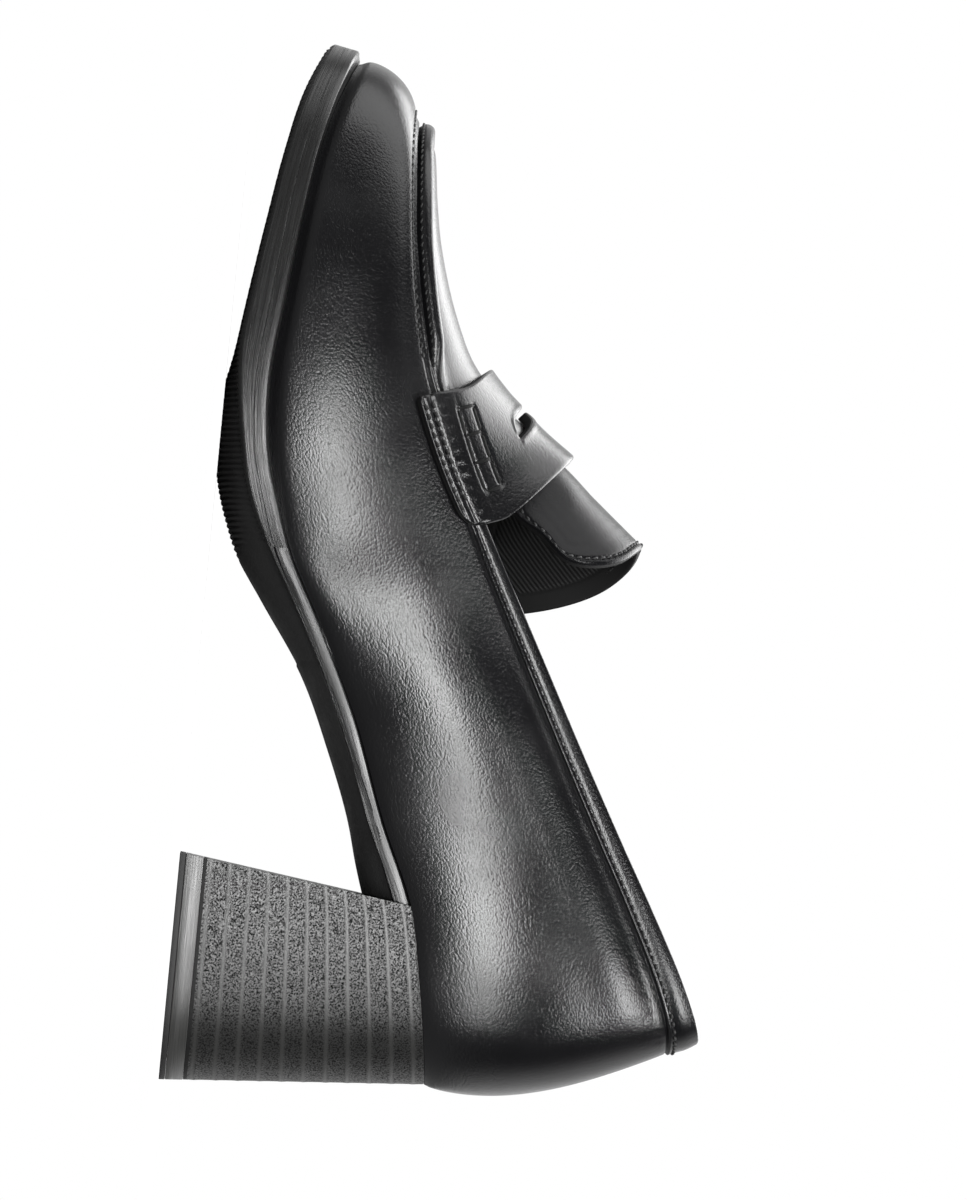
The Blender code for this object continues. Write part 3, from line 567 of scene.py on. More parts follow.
u = np.arange(ROUND_COLUMNS) * 2 * TOE_ROW / ROUND_COLUMNS
height = wall_height(u)
band = band_width(u)
band_start = 1 - band / height
below = np.linspace(0, 1, WALL_STEPS)[:, None] * (band_start - BAND_ROOM / height)[None]
border_step = np.array(BORDER_STEPS)[:, None]
border_mm = border_step * np.where(border_step > BORDER_FIXED, (band / BAND_NARROW)[None], 1.0)
border_share = band_start[None] + border_mm / height[None]
v = np.concatenate([below, border_share, np.ones((1, ROUND_COLUMNS))])
bare_wall = wall(u[None], v)
from_border = (v - band_start[None]) * height[None]
from_seam = (1 - v) * height[None]
print("wall grid:", v.shape, "band from", band.min(), "to", band.max(), "mm")

# %% [markdown]
# Real leather is never quite even: it draws up in fine wrinkles under the collar, where the band is sewn on
# under tension, and swells softly below them. Each crease is listed with its own place, length, width and
# depth, because noise would look the same everywhere.

# %% Creases of the wall
Wrinkle = namedtuple("Wrinkle", "s length lean depth")
WRINKLES = [
    Wrinkle(21.0, 5.0, 0.30, 0.10), Wrinkle(23.2, 7.0, 0.35, 0.13), Wrinkle(25.1, 6.0, 0.40, 0.09),
    Wrinkle(27.5, 9.0, 0.42, 0.14), Wrinkle(29.8, 7.5, 0.40, 0.11), Wrinkle(31.4, 10.0, 0.44, 0.15),
    Wrinkle(34.0, 8.0, 0.46, 0.12), Wrinkle(35.9, 11.0, 0.45, 0.14), Wrinkle(38.6, 9.0, 0.48, 0.12),
    Wrinkle(40.9, 11.5, 0.50, 0.13), Wrinkle(43.7, 8.0, 0.50, 0.10), Wrinkle(46.6, 9.5, 0.52, 0.11),
    Wrinkle(50.0, 7.0, 0.52, 0.08), Wrinkle(54.5, 8.0, 0.54, 0.08), Wrinkle(60.0, 6.5, 0.55, 0.06),
    Wrinkle(68.0, 7.0, 0.56, 0.06), Wrinkle(77.0, 6.0, 0.56, 0.05), Wrinkle(88.0, 6.5, 0.56, 0.05),
]
WRINKLE_HALF = 0.55
RIDGE_BESIDE = 1.5      # a ridge lies this many half widths before its trough
RIDGE_SHARE = 0.6       # and is as high as this share of the trough's depth
WRINKLE_START = (-0.5, 1.0)
WRINKLE_FADE = 0.45     # share of its length at which a wrinkle starts to fade
SWELL = [
    Bell(9.5, 5.0, 0.55),       # a soft roll this far below the band
    Bell(1.8, 2.2, -0.44),      # and a dip above it
]
SWELL_FROM = (14.0, 34.0)
SWELL_UNTIL = (84.0, 120.0)


def wall_creases(points, below_band):
    """Wrinkles that start at the band and lean back as they go down, plus the soft roll under the band."""
    s = points[..., 0]
    total = np.zeros(s.shape)
    for wrinkle in WRINKLES:
        away = s + below_band * wrinkle.lean - wrinkle.s
        fade = 1 - ease(WRINKLE_FADE * wrinkle.length, wrinkle.length, below_band)
        trough = hump(away, 0.0, WRINKLE_HALF)
        ridge = hump(away, RIDGE_BESIDE * WRINKLE_HALF, WRINKLE_HALF)
        total += wrinkle.depth * (RIDGE_SHARE * ridge - trough) * fade
    total *= ease(*WRINKLE_START, below_band)
    rear = ease(*SWELL_FROM, s) * (1 - ease(*SWELL_UNTIL, s))
    return total + bells(below_band, SWELL) * rear


at_collar = 1 - ease(THROAT_ROW - BAND_FADE, THROAT_ROW, row_of(u))
creases = wall_creases(bare_wall, -from_border) * at_collar[None]
print("creases from", creases.min().round(2), "to", creases.max().round(2), "mm")

# %% Band, lip and soft forms
BAND_STEP = 0.5
BAND_RISE = (-0.15, 0.3)
BAND_STITCH = 1.3
BAND_CROWN = 0.28
BAND_GROOVES = [
    Bell(-0.2, 0.28, -0.38),            # below the band
    Bell(BAND_STITCH, 0.42, -0.22),     # along its stitches
]
FLANGE_STITCH = 2.7
LIP = [
    Bell(0.0, 0.9, 0.75),               # the lip itself, at the seam
    Bell(FLANGE_STITCH, 0.42, -0.24),   # stitched groove of its flange
]
FEATHER = Bell(0.0, 1.9, -1.15)
FEATHER_FROM = (122.0, 160.0)
Mound = namedtuple("Mound", "s front rear v half high")
MOUNDS = [
    Mound(119.0, 8.0, 12.0, 0.32, 0.24, -1.0),      # hollow behind the ball
    Mound(95.0, 15.0, 34.0, 0.55, 0.26, 1.2),       # the quarter rolls out over the waist
]
MOUND_FOOT = (0.0, 0.2)
MOUND_TOP = (0.8, 1.0)


def band_relief(d, width):
    """Sewn-on band at d millimetres over its border: a step, a sine crown over its width, and its grooves."""
    step = BAND_STEP * ease(*BAND_RISE, d)
    crown = BAND_CROWN * np.sin(np.pi * np.clip((d - BAND_STITCH) / (width - BAND_STITCH), 0, 1))
    return step + crown + bells(d, BAND_GROOVES)


def feather_relief(points):
    """Forward of the waist the wall's foot is drawn in, by a bell of the height over the feather line."""
    high = points[..., 2] - points[:1, :, 2]
    return bells(high, [FEATHER]) * ease(*FEATHER_FROM, points[:1, :, 0])


def mound_relief(points):
    """Soft forms of the wall: each is a bell along the shoe, with its own widths before and behind its
    middle, times a bell up the wall, and all fade out at the foot and the top."""
    total = np.zeros(points.shape[:2])
    for mound in MOUNDS:
        away = points[..., 0] - mound.s
        wide = np.where(away > 0, mound.front, mound.rear)
        total += mound.high * hump(away, 0.0, wide) * hump(v, mound.v, mound.half)
    return total * ease(*MOUND_FOOT, v) * (1 - ease(*MOUND_TOP, v))


print("band grooves:", len(BAND_GROOVES), "soft forms:", len(MOUNDS))

# %% Seam heights
SEAM_FLAT_S = 169.0
SEAM_FULL_S = 179.0
SEAM_PRESSED = 0.25     # the strap presses the seam down to this share
SeamRow = namedtuple("SeamRow", "inset rise relief")
SEAM_PROFILE = [
    SeamRow(0.0, 0.00, 0.75),
    SeamRow(0.35, 0.03, 0.50),
    SeamRow(0.7, 0.07, -0.45),
    SeamRow(1.0, 0.13, -0.25),
    SeamRow(1.25, 0.19, 1.20),
    SeamRow(1.7, 0.32, 2.40),
    SeamRow(2.4, 0.47, 2.92),
    SeamRow(3.1, 0.62, 2.80),
    SeamRow(3.9, 0.78, 1.90),
    SeamRow(4.5, 0.90, 0.65),
    SeamRow(4.8, 0.96, -0.10),
    SeamRow(5.0, 1.00, -0.30),
]
SEAM_STEPS = (0.2, 0.4, 0.55, 0.7, 0.85, 1.0, 1.1, 1.2, 1.35, 1.55, 1.8, 2.1, 2.45, 2.8, 3.15, 3.5, 3.85,
              4.15, 4.4, 4.6, 4.8, 4.9, 5.0)

top_s = ring_line("top", u)[:, 0]
pressed = SEAM_PRESSED + (1 - SEAM_PRESSED) * ease(SEAM_FLAT_S, SEAM_FULL_S, top_s)
wall_relief = band_relief(from_border, band[None]) * at_collar[None] + creases
wall_relief += feather_relief(bare_wall) + mound_relief(bare_wall)
wall_relief += bells(from_seam, LIP) * (pressed * (1 - at_collar))[None]
print("wall relief from", wall_relief.min().round(2), "to", wall_relief.max().round(2), "mm")

# %% Apron panel
APRON_STEPS = 49
PANEL_CROWN = 0.25
PANEL_RISE = (0.5, 5.0)
PANEL_GROOVE = Bell(0.0, 1.1, -0.30)

first = THROAT_ROW * ROUND_COLUMNS // (2 * TOE_ROW)
front = np.arange(first, ROUND_COLUMNS - first + 1)
half = len(front) // 2
inset = np.array(SEAM_STEPS)[:, None] * np.ones((1, len(front)))
seam_rise = smooth_table(SEAM_PROFILE, "inset", "rise", inset)
seam_relief = smooth_table(SEAM_PROFILE, "inset", "relief", inset) * pressed[front][None]
seam_points = seam_point(np.broadcast_to(u[front], inset.shape), inset, seam_rise)

across = np.linspace(-1, 1, APRON_STEPS)
panel = apron(u[front[:half], None], across[None, 1:-1])
panel_half = np.linalg.norm(panel[:, -1] - panel[:, 0], axis=1) / 2
from_roll = (1 - np.abs(across[None, 1:-1])) * panel_half[:, None]
panel_relief = PANEL_CROWN * ease(*PANEL_RISE, from_roll) + bells(from_roll, [PANEL_GROOVE])
panel_relief *= pressed[front[:half], None]
print("apron half width from", panel_half.min().round(1), "to", panel_half.max().round(1), "mm")

# %% Whole sheet of the upper
wall_index = numbers(v.shape)
seam_index = numbers(inset.shape, wall_index.size)
border = np.concatenate([wall_index[-1:, front], seam_index])
panel_index = numbers(panel.shape[:2], border.max() + 1)
ladder = np.concatenate([border[-1, :half, None], panel_index, border[-1, ::-1][:half, None]], axis=1)
tip = np.full((1, ladder.shape[1]), border[-1, half])
panel_faces = quads(np.concatenate([ladder, tip]).T)
faces = np.concatenate([quads(wall_index, closed=True), quads(border), panel_faces])[:, ::-1]
sheet = np.concatenate([bare_wall.reshape(-1, 3), seam_points.reshape(-1, 3), panel.reshape(-1, 3)])
relief = np.concatenate([wall_relief.ravel(), seam_relief.ravel(), panel_relief.ravel()])
shell, shell_faces = thicken(sheet, faces, relief, np.full(len(sheet), -WALL))
feather = wall_index[0]
shell[feather, 2] = sheet[feather, 2]
shell[feather + len(sheet), 2] = sheet[feather, 2]
lined = np.zeros(len(shell_faces))
lined[len(faces):2 * len(faces)] = 1
make_piece("upper_shell", shell, shell_faces, [upper_leather, lining_leather],
           ["upper"], lined)

# %% [markdown]
# Along the collar two folded edges lie side by side: the band's and the lining's, with a fine groove between.
# A bevelled curve would give one round edge only, so a profile of two small rolls is carried along the top
# line, in the frame of the wall's own normal and its upward direction.

# %% Collar edge
EdgePoint = namedtuple("EdgePoint", "out up")
COLLAR_EDGE = [
    EdgePoint(0.42, -0.9), EdgePoint(0.52, -0.35), EdgePoint(0.42, 0.12), EdgePoint(0.12, 0.42),
    EdgePoint(-0.25, 0.48), EdgePoint(-0.58, 0.28), EdgePoint(-0.78, -0.05), EdgePoint(-0.90, -0.20),
    EdgePoint(-1.02, -0.02), EdgePoint(-1.2, 0.22), EdgePoint(-1.5, 0.32), EdgePoint(-1.8, 0.18),
    EdgePoint(-1.98, -0.2), EdgePoint(-1.95, -0.9), EdgePoint(-0.7, -1.0),
]
COLLAR_STEPS = 300
COLLAR_PAST = 0.05      # it runs on past the throat by this share of a row
FRAME_STEP = 0.01


def wall_frame(at, share):
    """Point, outward normal and upward direction of the bare wall, by small steps along it."""
    along = wall(at + FRAME_STEP, share) - wall(at - FRAME_STEP, share)
    up = unit(wall(at, share) - wall(at, share - FRAME_STEP))
    out = unit(np.cross(up, along))
    inside = np.sum(out * outward("base", at), axis=-1, keepdims=True) < 0
    return wall(at, share), np.where(inside, -out, out), up


def closed_ends(rings):
    """Adds the middle of the first and last ring as poles, so that a swept profile is closed."""
    first_pole = np.repeat(rings[:1].mean(axis=1, keepdims=True), rings.shape[1], axis=1)
    last_pole = np.repeat(rings[-1:].mean(axis=1, keepdims=True), rings.shape[1], axis=1)
    return np.concatenate([first_pole, rings, last_pole])


collar_at = np.linspace(THROAT_ROW + COLLAR_PAST, -THROAT_ROW - COLLAR_PAST, COLLAR_STEPS)
middle, out, up = wall_frame(collar_at, np.ones(COLLAR_STEPS))
profile = np.array(COLLAR_EDGE)
rings = middle[:, None] + out[:, None] * profile[None, :, :1] + up[:, None] * profile[None, :, 1:]
rings = closed_ends(rings)
collar_faces = quads(numbers(rings.shape[:2]), closed=True)
make_piece("collar_edge", rings.reshape(-1, 3), collar_faces, [upper_leather])

# %% [markdown]
# The sewing is black waxed thread. Each stitch could be a curve object, but hundreds of objects are slow, so
# a row of stitches is one array: every stitch is a short tube that rises out of the leather and dives back.

# %% Thread and stitch rows
STITCH_RINGS = 7
STITCH_SIDES = 6
STITCH_ARCH = 1.3       # height of a stitch's axis in its middle, in radii
Stitch = namedtuple("Stitch", "pitch length radius")


def grainy(name, colour, roughness, scale, depth, strength=0.5, detail=2.0, shine=None, **sockets):
    """Plain finish with noise at a scale as its height; shine is the scale and range of a noise in its
    roughness."""
    material, tree, shader = start_material(name, colour, roughness, **sockets)
    place = object_place(tree)
    emboss(tree, shader, vary(tree, place, scale, 0.0, 1.0, detail), depth, strength)
    if shine is not None:
        feed(tree, shader.inputs["Roughness"], vary(tree, place, *shine))
    return material


def run_of(points, axis=0):
    """Length along a path, or along one direction of a grid, at each of its points."""
    step = np.linalg.norm(np.diff(points, axis=axis), axis=-1)
    return np.insert(np.cumsum(step, axis=axis), 0, 0.0, axis=axis)


def along_path(values, run, at):
    """Values of a path read at lengths along it, by straight lines between its points."""
    return np.stack([np.interp(at, run, values[:, axis]) for axis in range(3)], axis=-1)


def stitch_row(path, normal, stitch, lean=0.0, sink=0.35, blunt=2):
    """Stitches of one row: radius times sqrt(1 - |2t-1|^(2 blunt)) thick, arched by 1 - |2t-1|^blunt.
    lean turns each stitch across the row, and sink sets how deep its axis lies, as a share of its radius."""
    pitch, length, radius = stitch
    run = run_of(path)
    count = int(run[-1] // pitch)
    start = (run[-1] - count * pitch + pitch - length) / 2 + pitch * np.arange(count)
    t = np.linspace(0, 1, STITCH_RINGS)
    at = start[:, None] + length * t[None]
    centre = along_path(path, run, at)
    up = unit(along_path(normal, run, at))
    forward = unit(np.gradient(centre, axis=1))
    side = np.cross(forward, up)
    centre = centre + side * (lean * length * (t - 0.5))[None, :, None]
    thick = radius * np.sqrt(1 - np.abs(2 * t - 1) ** (2 * blunt))
    lift = radius * (STITCH_ARCH * (1 - np.abs(2 * t - 1) ** blunt) - sink)
    angle = np.linspace(0, 2 * np.pi, STITCH_SIDES, endpoint=False)
    spread = side[:, :, None] * (thick[:, None] * np.cos(angle)[None])[None, ..., None]
    rise = up[:, :, None] * (lift[:, None] + thick[:, None] * np.sin(angle)[None])[None, ..., None]
    return centre[:, :, None] + spread + rise


thread = grainy("thread", (0.012,) * 3, 0.42, 5200.0, 0.00008, detail=1.0, shine=(900.0, 0.34, 0.55))


def make_stitches(name, rows, material=thread):
    """One piece from several rows of stitches."""
    grids = np.concatenate(rows)
    index = numbers(grids.shape[:3])
    ring = np.concatenate([index, index[:, :, :1]], axis=2)
    corners = [ring[:, :-1, :-1], ring[:, :-1, 1:], ring[:, 1:, 1:], ring[:, 1:, :-1]]
    stitch_faces = np.stack(corners, axis=-1).reshape(-1, 4)
    print(name, "stitches:", len(grids))
    return make_piece(name, grids.reshape(-1, 3), stitch_faces, [material])


print("sewing thread:", thread.name)

# %% Stitches of the upper
SEWING_STEPS = 900
COLLAR_SEWING = Stitch(2.15, 1.45, 0.33)
COLLAR_ROOM = 0.75      # rows of the last left free behind the throat
COLLAR_LIFT = 0.30
FLANGE_SEWING = Stitch(2.3, 1.7, 0.30)
FLANGE_ROW = 11.2
FLANGE_LIFT = -0.2
ROLL_SEWING = Stitch(1.9, 1.25, 0.24)
ROLL_STEP = 1.35        # the step of the seam that carries them
ROLL_ROOM = 24          # columns left free at both ends
ROLL_LEAN = 0.35


def wall_row(at, down, lift):
    """Path and normals of a row on the wall, down millimetres below its top line and lifted off it."""
    point, out, up = wall_frame(at, 1 - down / wall_height(at))
    return point + out * lift, out


collar_at = np.linspace(THROAT_ROW - COLLAR_ROOM, -THROAT_ROW + COLLAR_ROOM, SEWING_STEPS)
collar_line = wall_row(collar_at, band_width(collar_at) - BAND_STITCH, COLLAR_LIFT)
flange_at = np.linspace(FLANGE_ROW, 2 * TOE_ROW - FLANGE_ROW, SEWING_STEPS)
flange_line = wall_row(flange_at, FLANGE_STITCH, FLANGE_LIFT)
roll_line = border[SEAM_STEPS.index(ROLL_STEP) + 1, ROLL_ROOM:-ROLL_ROOM]
roll_normal = sheet_normals(shell[:len(sheet)], faces)[roll_line]
make_stitches("upper_stitching", [
    stitch_row(*collar_line, COLLAR_SEWING),
    stitch_row(*flange_line, FLANGE_SEWING),
    stitch_row(shell[roll_line], roll_normal, ROLL_SEWING, ROLL_LEAN),
])

# %% [markdown]
# The saddle strap is a band of the same leather laid over the instep and sewn down at both ends, with a
# crescent slit cut into it. A flat strip could be bent over the shoe with a modifier; here its sheet is read
# from the last, so it lies on the apron, rolls over the seam and comes down on the wall. The sheet is made
# once as an even grid, and everything on the strap, edges, stitches and cords, is read from that grid.

# %% Sheet under the strap
STRAP_REAR = 8.58
STRAP_FRONT = 10.65
STRAP_END_REAR = 0.86
STRAP_END_FRONT = 0.76
STRAP_TOP_SHARE = 0.80
STRAP_SEAM_SHARE = 0.15
STRAP_THICK = 2.5
STRAP_END_THICK = 1.7
STRAP_TAPER_FROM = 0.6
STRAP_CLEAR = 0.55
STRAP_OVER_SEAM = 0.55
STRAP_OVER_ROLL = 0.5
STRAP_OVER_TONGUE = 0.4
ROLL_FROM = 0.4
TONGUE_UNTIL = 0.35
SEAM_PLACE = 0.77
SEAM_SPREAD = 0.12
STRAP_HALF_LENGTH = 46.0
STRAP_SOFT = 0.068      # spread of the smoothing along the strap, in shares of its half length
SHEET_ROWS, SHEET_COLUMNS = 81, 241


def strap_surface(row, q):
    """Bare surface under the strap: q runs from -1 at its outer end over the instep to 1 at its inner end."""
    size = np.abs(q)
    panel_share = STRAP_TOP_SHARE * (1 - STRAP_SEAM_SHARE)
    place = apron(row, np.clip(q / panel_share, -1, 1))
    side = np.where(q < 0, row, 2 * TOE_ROW - row)
    edge = seam_point(side, np.full(side.shape, PANEL_INSET), 1.0)
    on_seam = np.clip((size - panel_share) / (STRAP_TOP_SHARE - panel_share), 0, 1)
    seam = edge + (ring_line("top", side) - edge) * on_seam[..., None]
    stop = np.interp(row, [STRAP_REAR, STRAP_FRONT], [STRAP_END_REAR, STRAP_END_FRONT])
    on_wall = np.clip((size - STRAP_TOP_SHARE) / (1 - STRAP_TOP_SHARE), 0, 1)
    side_wall = wall(side, 1 - on_wall * (1 - stop))
    place = np.where((size > panel_share)[..., None], seam, place)
    return np.where((size > STRAP_TOP_SHARE)[..., None], side_wall, place)


def soften(points, spread):
    """Bell-weighted mean along the second direction; the grid goes on beyond its ends, mirrored in them."""
    reach = int(3 * spread)
    weight = hump(np.arange(-reach, reach + 1), 0.0, spread * np.sqrt(2))
    weight /= weight.sum()
    before = 2 * points[:, :1] - points[:, reach:0:-1]
    after = 2 * points[:, -1:] - points[:, -2:-reach - 2:-1]
    long_grid = np.concatenate([before, points, after], axis=1)
    windows = np.lib.stride_tricks.sliding_window_view(long_grid, 2 * reach + 1, axis=1)
    return windows @ weight


def sample(grid, rows, columns):
    """Reads a regular grid at fractional row and column numbers, along straight lines between its points."""
    i = np.clip(np.floor(rows).astype(int), 0, grid.shape[0] - 2)
    j = np.clip(np.floor(columns).astype(int), 0, grid.shape[1] - 2)
    f = (rows - i)[..., None]
    g = (columns - j)[..., None]
    low = grid[i, j] * (1 - g) + grid[i, j + 1] * g
    high = grid[i + 1, j] * (1 - g) + grid[i + 1, j + 1] * g
    return low * (1 - f) + high * f


sheet_axes = np.linspace(0, 1, SHEET_ROWS), np.linspace(-1, 1, SHEET_COLUMNS)
sheet_b, sheet_q = np.meshgrid(*sheet_axes, indexing="ij")
strap_sheet = strap_surface(STRAP_REAR + (STRAP_FRONT - STRAP_REAR) * sheet_b, sheet_q)
strap_sheet = soften(strap_sheet, STRAP_SOFT * (SHEET_COLUMNS - 1) / 2)
sheet_faces = quads(numbers(sheet_b.shape))
strap_normal = sheet_normals(strap_sheet.reshape(-1, 3), sheet_faces).reshape(strap_sheet.shape)
strap_width = np.linalg.norm(np.diff(strap_sheet, axis=0), axis=-1).sum(axis=0)
print("strap width in its middle:", strap_width[SHEET_COLUMNS // 2].round(1), "mm")

# %% Heights on the strap
EDGE_ROUND = 0.7
END_ROWS = (1.3, 3.7)           # stitch rows, from the end
END_DENTS = [Bell(row, 0.55, -0.28) for row in END_ROWS]
LADDER_NEAR, LADDER_FAR = 10.0, 14.6
LADDER_FRONT, LADDER_REAR = 5.0, 7.0
LADDER_DENTS = [Bell(rail, 0.6, -0.55) for rail in (LADDER_NEAR, LADDER_FAR)]
LADDER_FADE = 0.5
PILLOW_HIGH = 0.22              # swell between the stitches and the ladder
PUCKERS = Bell(5.6, 2.0, 0.07)
PUCKER_LONG = 2.9
BRIDGE = Bell(17.0, 7.0, 1.4)   # the strap bridges the seam, furthest off it at this place from the end


def round_off(d, radius):
    """Drop of a rounded edge at distance d from it: a quarter circle of that radius."""
    share = np.clip(1 - d / radius, 0, 1)
    return radius * (1 - np.sqrt(1 - share ** 2))


def strap_top(b, q):
    """Sheet under the strap and its normal, then the strap's height over it and its thickness, at share b of
    its width and q of its half length."""
    size = np.abs(q)
    rows = b * (SHEET_ROWS - 1)
    columns = (q + 1) / 2 * (SHEET_COLUMNS - 1)
    point = sample(strap_sheet, rows, columns)
    normal = unit(sample(strap_normal, rows, columns))
    from_end = (1 - size) * STRAP_HALF_LENGTH
    wide = np.interp(q, sheet_q[0], strap_width)
    near_seam = hump(size, SEAM_PLACE, SEAM_SPREAD)
    clear = STRAP_CLEAR + near_seam * (STRAP_OVER_SEAM + STRAP_OVER_ROLL * ease(ROLL_FROM, 1.0, b))
    clear = clear + STRAP_OVER_TONGUE * (1 - ease(0.0, TONGUE_UNTIL, b)) + bells(from_end, [BRIDGE])
    taper = ease(STRAP_TAPER_FROM, 1.0, size) * (STRAP_THICK - STRAP_END_THICK)
    swollen = np.clip((from_end - END_ROWS[1]) / (LADDER_NEAR - END_ROWS[1]), 0, 1)
    in_ladder = ease(-LADDER_FADE, LADDER_FADE, b * wide - LADDER_REAR)
    in_ladder = in_ladder * ease(-LADDER_FADE, LADDER_FADE, (1 - b) * wide - LADDER_FRONT)
    pucker = np.sin(2 * np.pi * b * wide / PUCKER_LONG) * bells(from_end, [PUCKERS])
    thick = STRAP_THICK - taper + bells(from_end, END_DENTS) + PILLOW_HIGH * np.sin(np.pi * swollen)
    return point, normal, clear, thick + bells(from_end, LADDER_DENTS) * in_ladder + pucker


print("ladder between", LADDER_NEAR, "and", LADDER_FAR, "mm from each end of the strap")

# %% Slit of the strap
SLIT_HALF = 22.5
SLIT_OPEN = 0.15
SLIT_LEAST = 0.02
SLIT_CENTRE = 0.515
SLIT_CURL = 0.125
SLIT_SAG = 1.8
SLIT_HOOK = 8
NOTCH_HALF = 4.16
NOTCH_WIDE = 0.13
NOTCH_POWER = 1.4
PART_ROWS = 30
STRAP_COLUMNS = 301
EVEN_SHARE = 0.3        # the other columns crowd towards the ends
REAR_CORNER = 4.5
FRONT_CORNER = 1.6
CORNER_POWER = 8

even = np.linspace(-1, 1, STRAP_COLUMNS)
q = EVEN_SHARE * even + (1 - EVEN_SHARE) * np.sin(even * np.pi / 2)
along = np.abs(q) * STRAP_HALF_LENGTH
slit_at = np.clip(along / SLIT_HALF, 0, 1)
inside_slit = 1 - slit_at ** SLIT_HOOK
slit_rear = SLIT_CENTRE - SLIT_CURL * (1 - (1 - slit_at) ** SLIT_SAG)
notch = NOTCH_WIDE * np.clip(1 - along / NOTCH_HALF, 0, 1) ** NOTCH_POWER
slit_front = slit_rear + SLIT_OPEN * np.sqrt(slit_at * inside_slit) + notch + SLIT_LEAST
steps = (1 - np.cos(np.pi * np.linspace(0, 1, PART_ROWS))) / 2
rear_part = slit_rear[None] * steps[:, None]
front_part = slit_front[None] + (1 - slit_front)[None] * steps[:, None]
b = np.concatenate([rear_part, front_part])
q = np.broadcast_to(q, b.shape)
wide = np.interp(q, sheet_q[0], strap_width)
corner = round_off(b * wide, REAR_CORNER) + round_off((1 - b) * wide, FRONT_CORNER)
q = q * (1 - corner / STRAP_HALF_LENGTH * np.abs(q) ** CORNER_POWER)
print("strap grid:", b.shape, "slit half length:", SLIT_HALF, "mm")

# %% Strap
SLIT_ROUND = 0.5
SLIT_SWELL = Bell(0.9, 0.7, -0.22)      # the leather rises beside the slit
SLIT_FADE = 0.1
MOST_DROP = 0.9


def shell_finish(faces, all_faces):
    """Finish numbers of a thickened sheet: 0 outside, 1 inside and 2 round its rim."""
    finish = np.full(len(all_faces), 2)
    finish[:len(faces)] = 0
    finish[len(faces):2 * len(faces)] = 1
    return finish


# The cut edges' near-black grey is partly their edge paint and partly painted shade: it stands for the dark
# shadow line under the strap's rear edge.
cut_edge_painted_shade = grainy("cut_edge_painted_shade", (0.005,) * 3, 0.6, 2600.0, 0.00008, Specular_IOR_Level=0.25)
point, normal, clear, thick = strap_top(b, q)
opened = np.where(inside_slit > 0, 1.0, 0.0)[None]
from_slit = np.minimum(np.abs(b - slit_rear[None]), np.abs(b - slit_front[None])) * wide
from_end = (1 - np.abs(q)) * STRAP_HALF_LENGTH - corner
drop = sum(round_off(d, EDGE_ROUND) for d in (b * wide, (1 - b) * wide, from_end))
drop += round_off(from_slit, SLIT_ROUND) * opened
drop += bells(from_slit, [SLIT_SWELL]) * opened * ease(0.0, SLIT_FADE, inside_slit)[None]
index = numbers(b.shape)
bridge = quads(index[PART_ROWS - 1:PART_ROWS + 1])
solid = inside_slit <= 0
strap_faces = np.concatenate([
    quads(index[:PART_ROWS]), quads(index[PART_ROWS:]), bridge[solid[:-1] | solid[1:]],
])
top = (clear + thick - np.minimum(drop, MOST_DROP)).ravel()
strap, all_faces = thicken(point.reshape(-1, 3), strap_faces, top, clear.ravel(), normal.reshape(-1, 3))
make_piece("saddle_band", strap, all_faces, [upper_leather, lining_leather, cut_edge_painted_shade],
           ["saddle_strap"], shell_finish(strap_faces, all_faces))

# %% Stitches and cords of the strap
PATH_STEPS = 200
STRAP_SEWING = Stitch(2.25, 1.75, 0.42)
SEWING_LEAN = 0.25
SEWING_REAR, SEWING_FRONT = 1.6, 1.2    # room left at the strap's edges
CORD_RADIUS = 0.45
LADDER_PANELS = 3
RUNG_PAST = 0.2
COUNT_ROOM = 0.001      # keeps the count of cords on a path whole

cord = grainy("cord", (0.0025,) * 3, 0.6, 3000.0, 0.0001, Specular_IOR_Level=0.18)


def strap_path(b, from_end, end):
    """Path and normals on top of the strap, at share b of its width and a distance from one of its ends."""
    b, q = np.broadcast_arrays(b, end * (1 - from_end / STRAP_HALF_LENGTH))
    point, normal, clear, thick = strap_top(b, q)
    return point + normal * (clear + thick)[:, None], normal


def lace(path, count, filled, sink, blunt):
    """Cords on a path: count long stitches, each over a filled share of its pitch."""
    pitch = run_of(path[0])[-1] / (count + COUNT_ROOM)
    return stitch_row(*path, Stitch(pitch, pitch * filled, CORD_RADIUS), sink=sink, blunt=blunt)


strap_rows = []
cord_rows = []
for end in (-1, 1):
    end_width = np.interp(end, sheet_q[0], strap_width)
    for row in END_ROWS:
        share = np.linspace((row + SEWING_REAR) / end_width, 1 - SEWING_FRONT / end_width, PATH_STEPS)
        strap_rows.append(stitch_row(*strap_path(share, row, end), STRAP_SEWING, SEWING_LEAN * end))
    low = LADDER_REAR / end_width
    high = 1 - LADDER_FRONT / end_width
    for rail in (LADDER_NEAR, LADDER_FAR):
        path = strap_path(np.linspace(low, high, PATH_STEPS), rail, end)
        cord_rows.append(lace(path, LADDER_PANELS, 0.97, 0.95, 8))
    span = np.linspace(LADDER_NEAR - RUNG_PAST, LADDER_FAR + RUNG_PAST, PATH_STEPS)
    for rung in np.linspace(low, high, LADDER_PANELS + 1):
        cord_rows.append(lace(strap_path(rung, span, end), 1, 0.98, 1.0, 6))
make_stitches("strap_stitching", strap_rows)
make_stitches("strap_cords", cord_rows, cord)

# %% [markdown]
# The tongue leaves the throat under the strap and stands up free, arched across the foot, with a stitched
# border and a ribbed lining below. Cloth simulation could bend it, but it would not stop at the photographed
# pose, so its root is read from the last and its free end is placed by its tip and its two hanging corners.

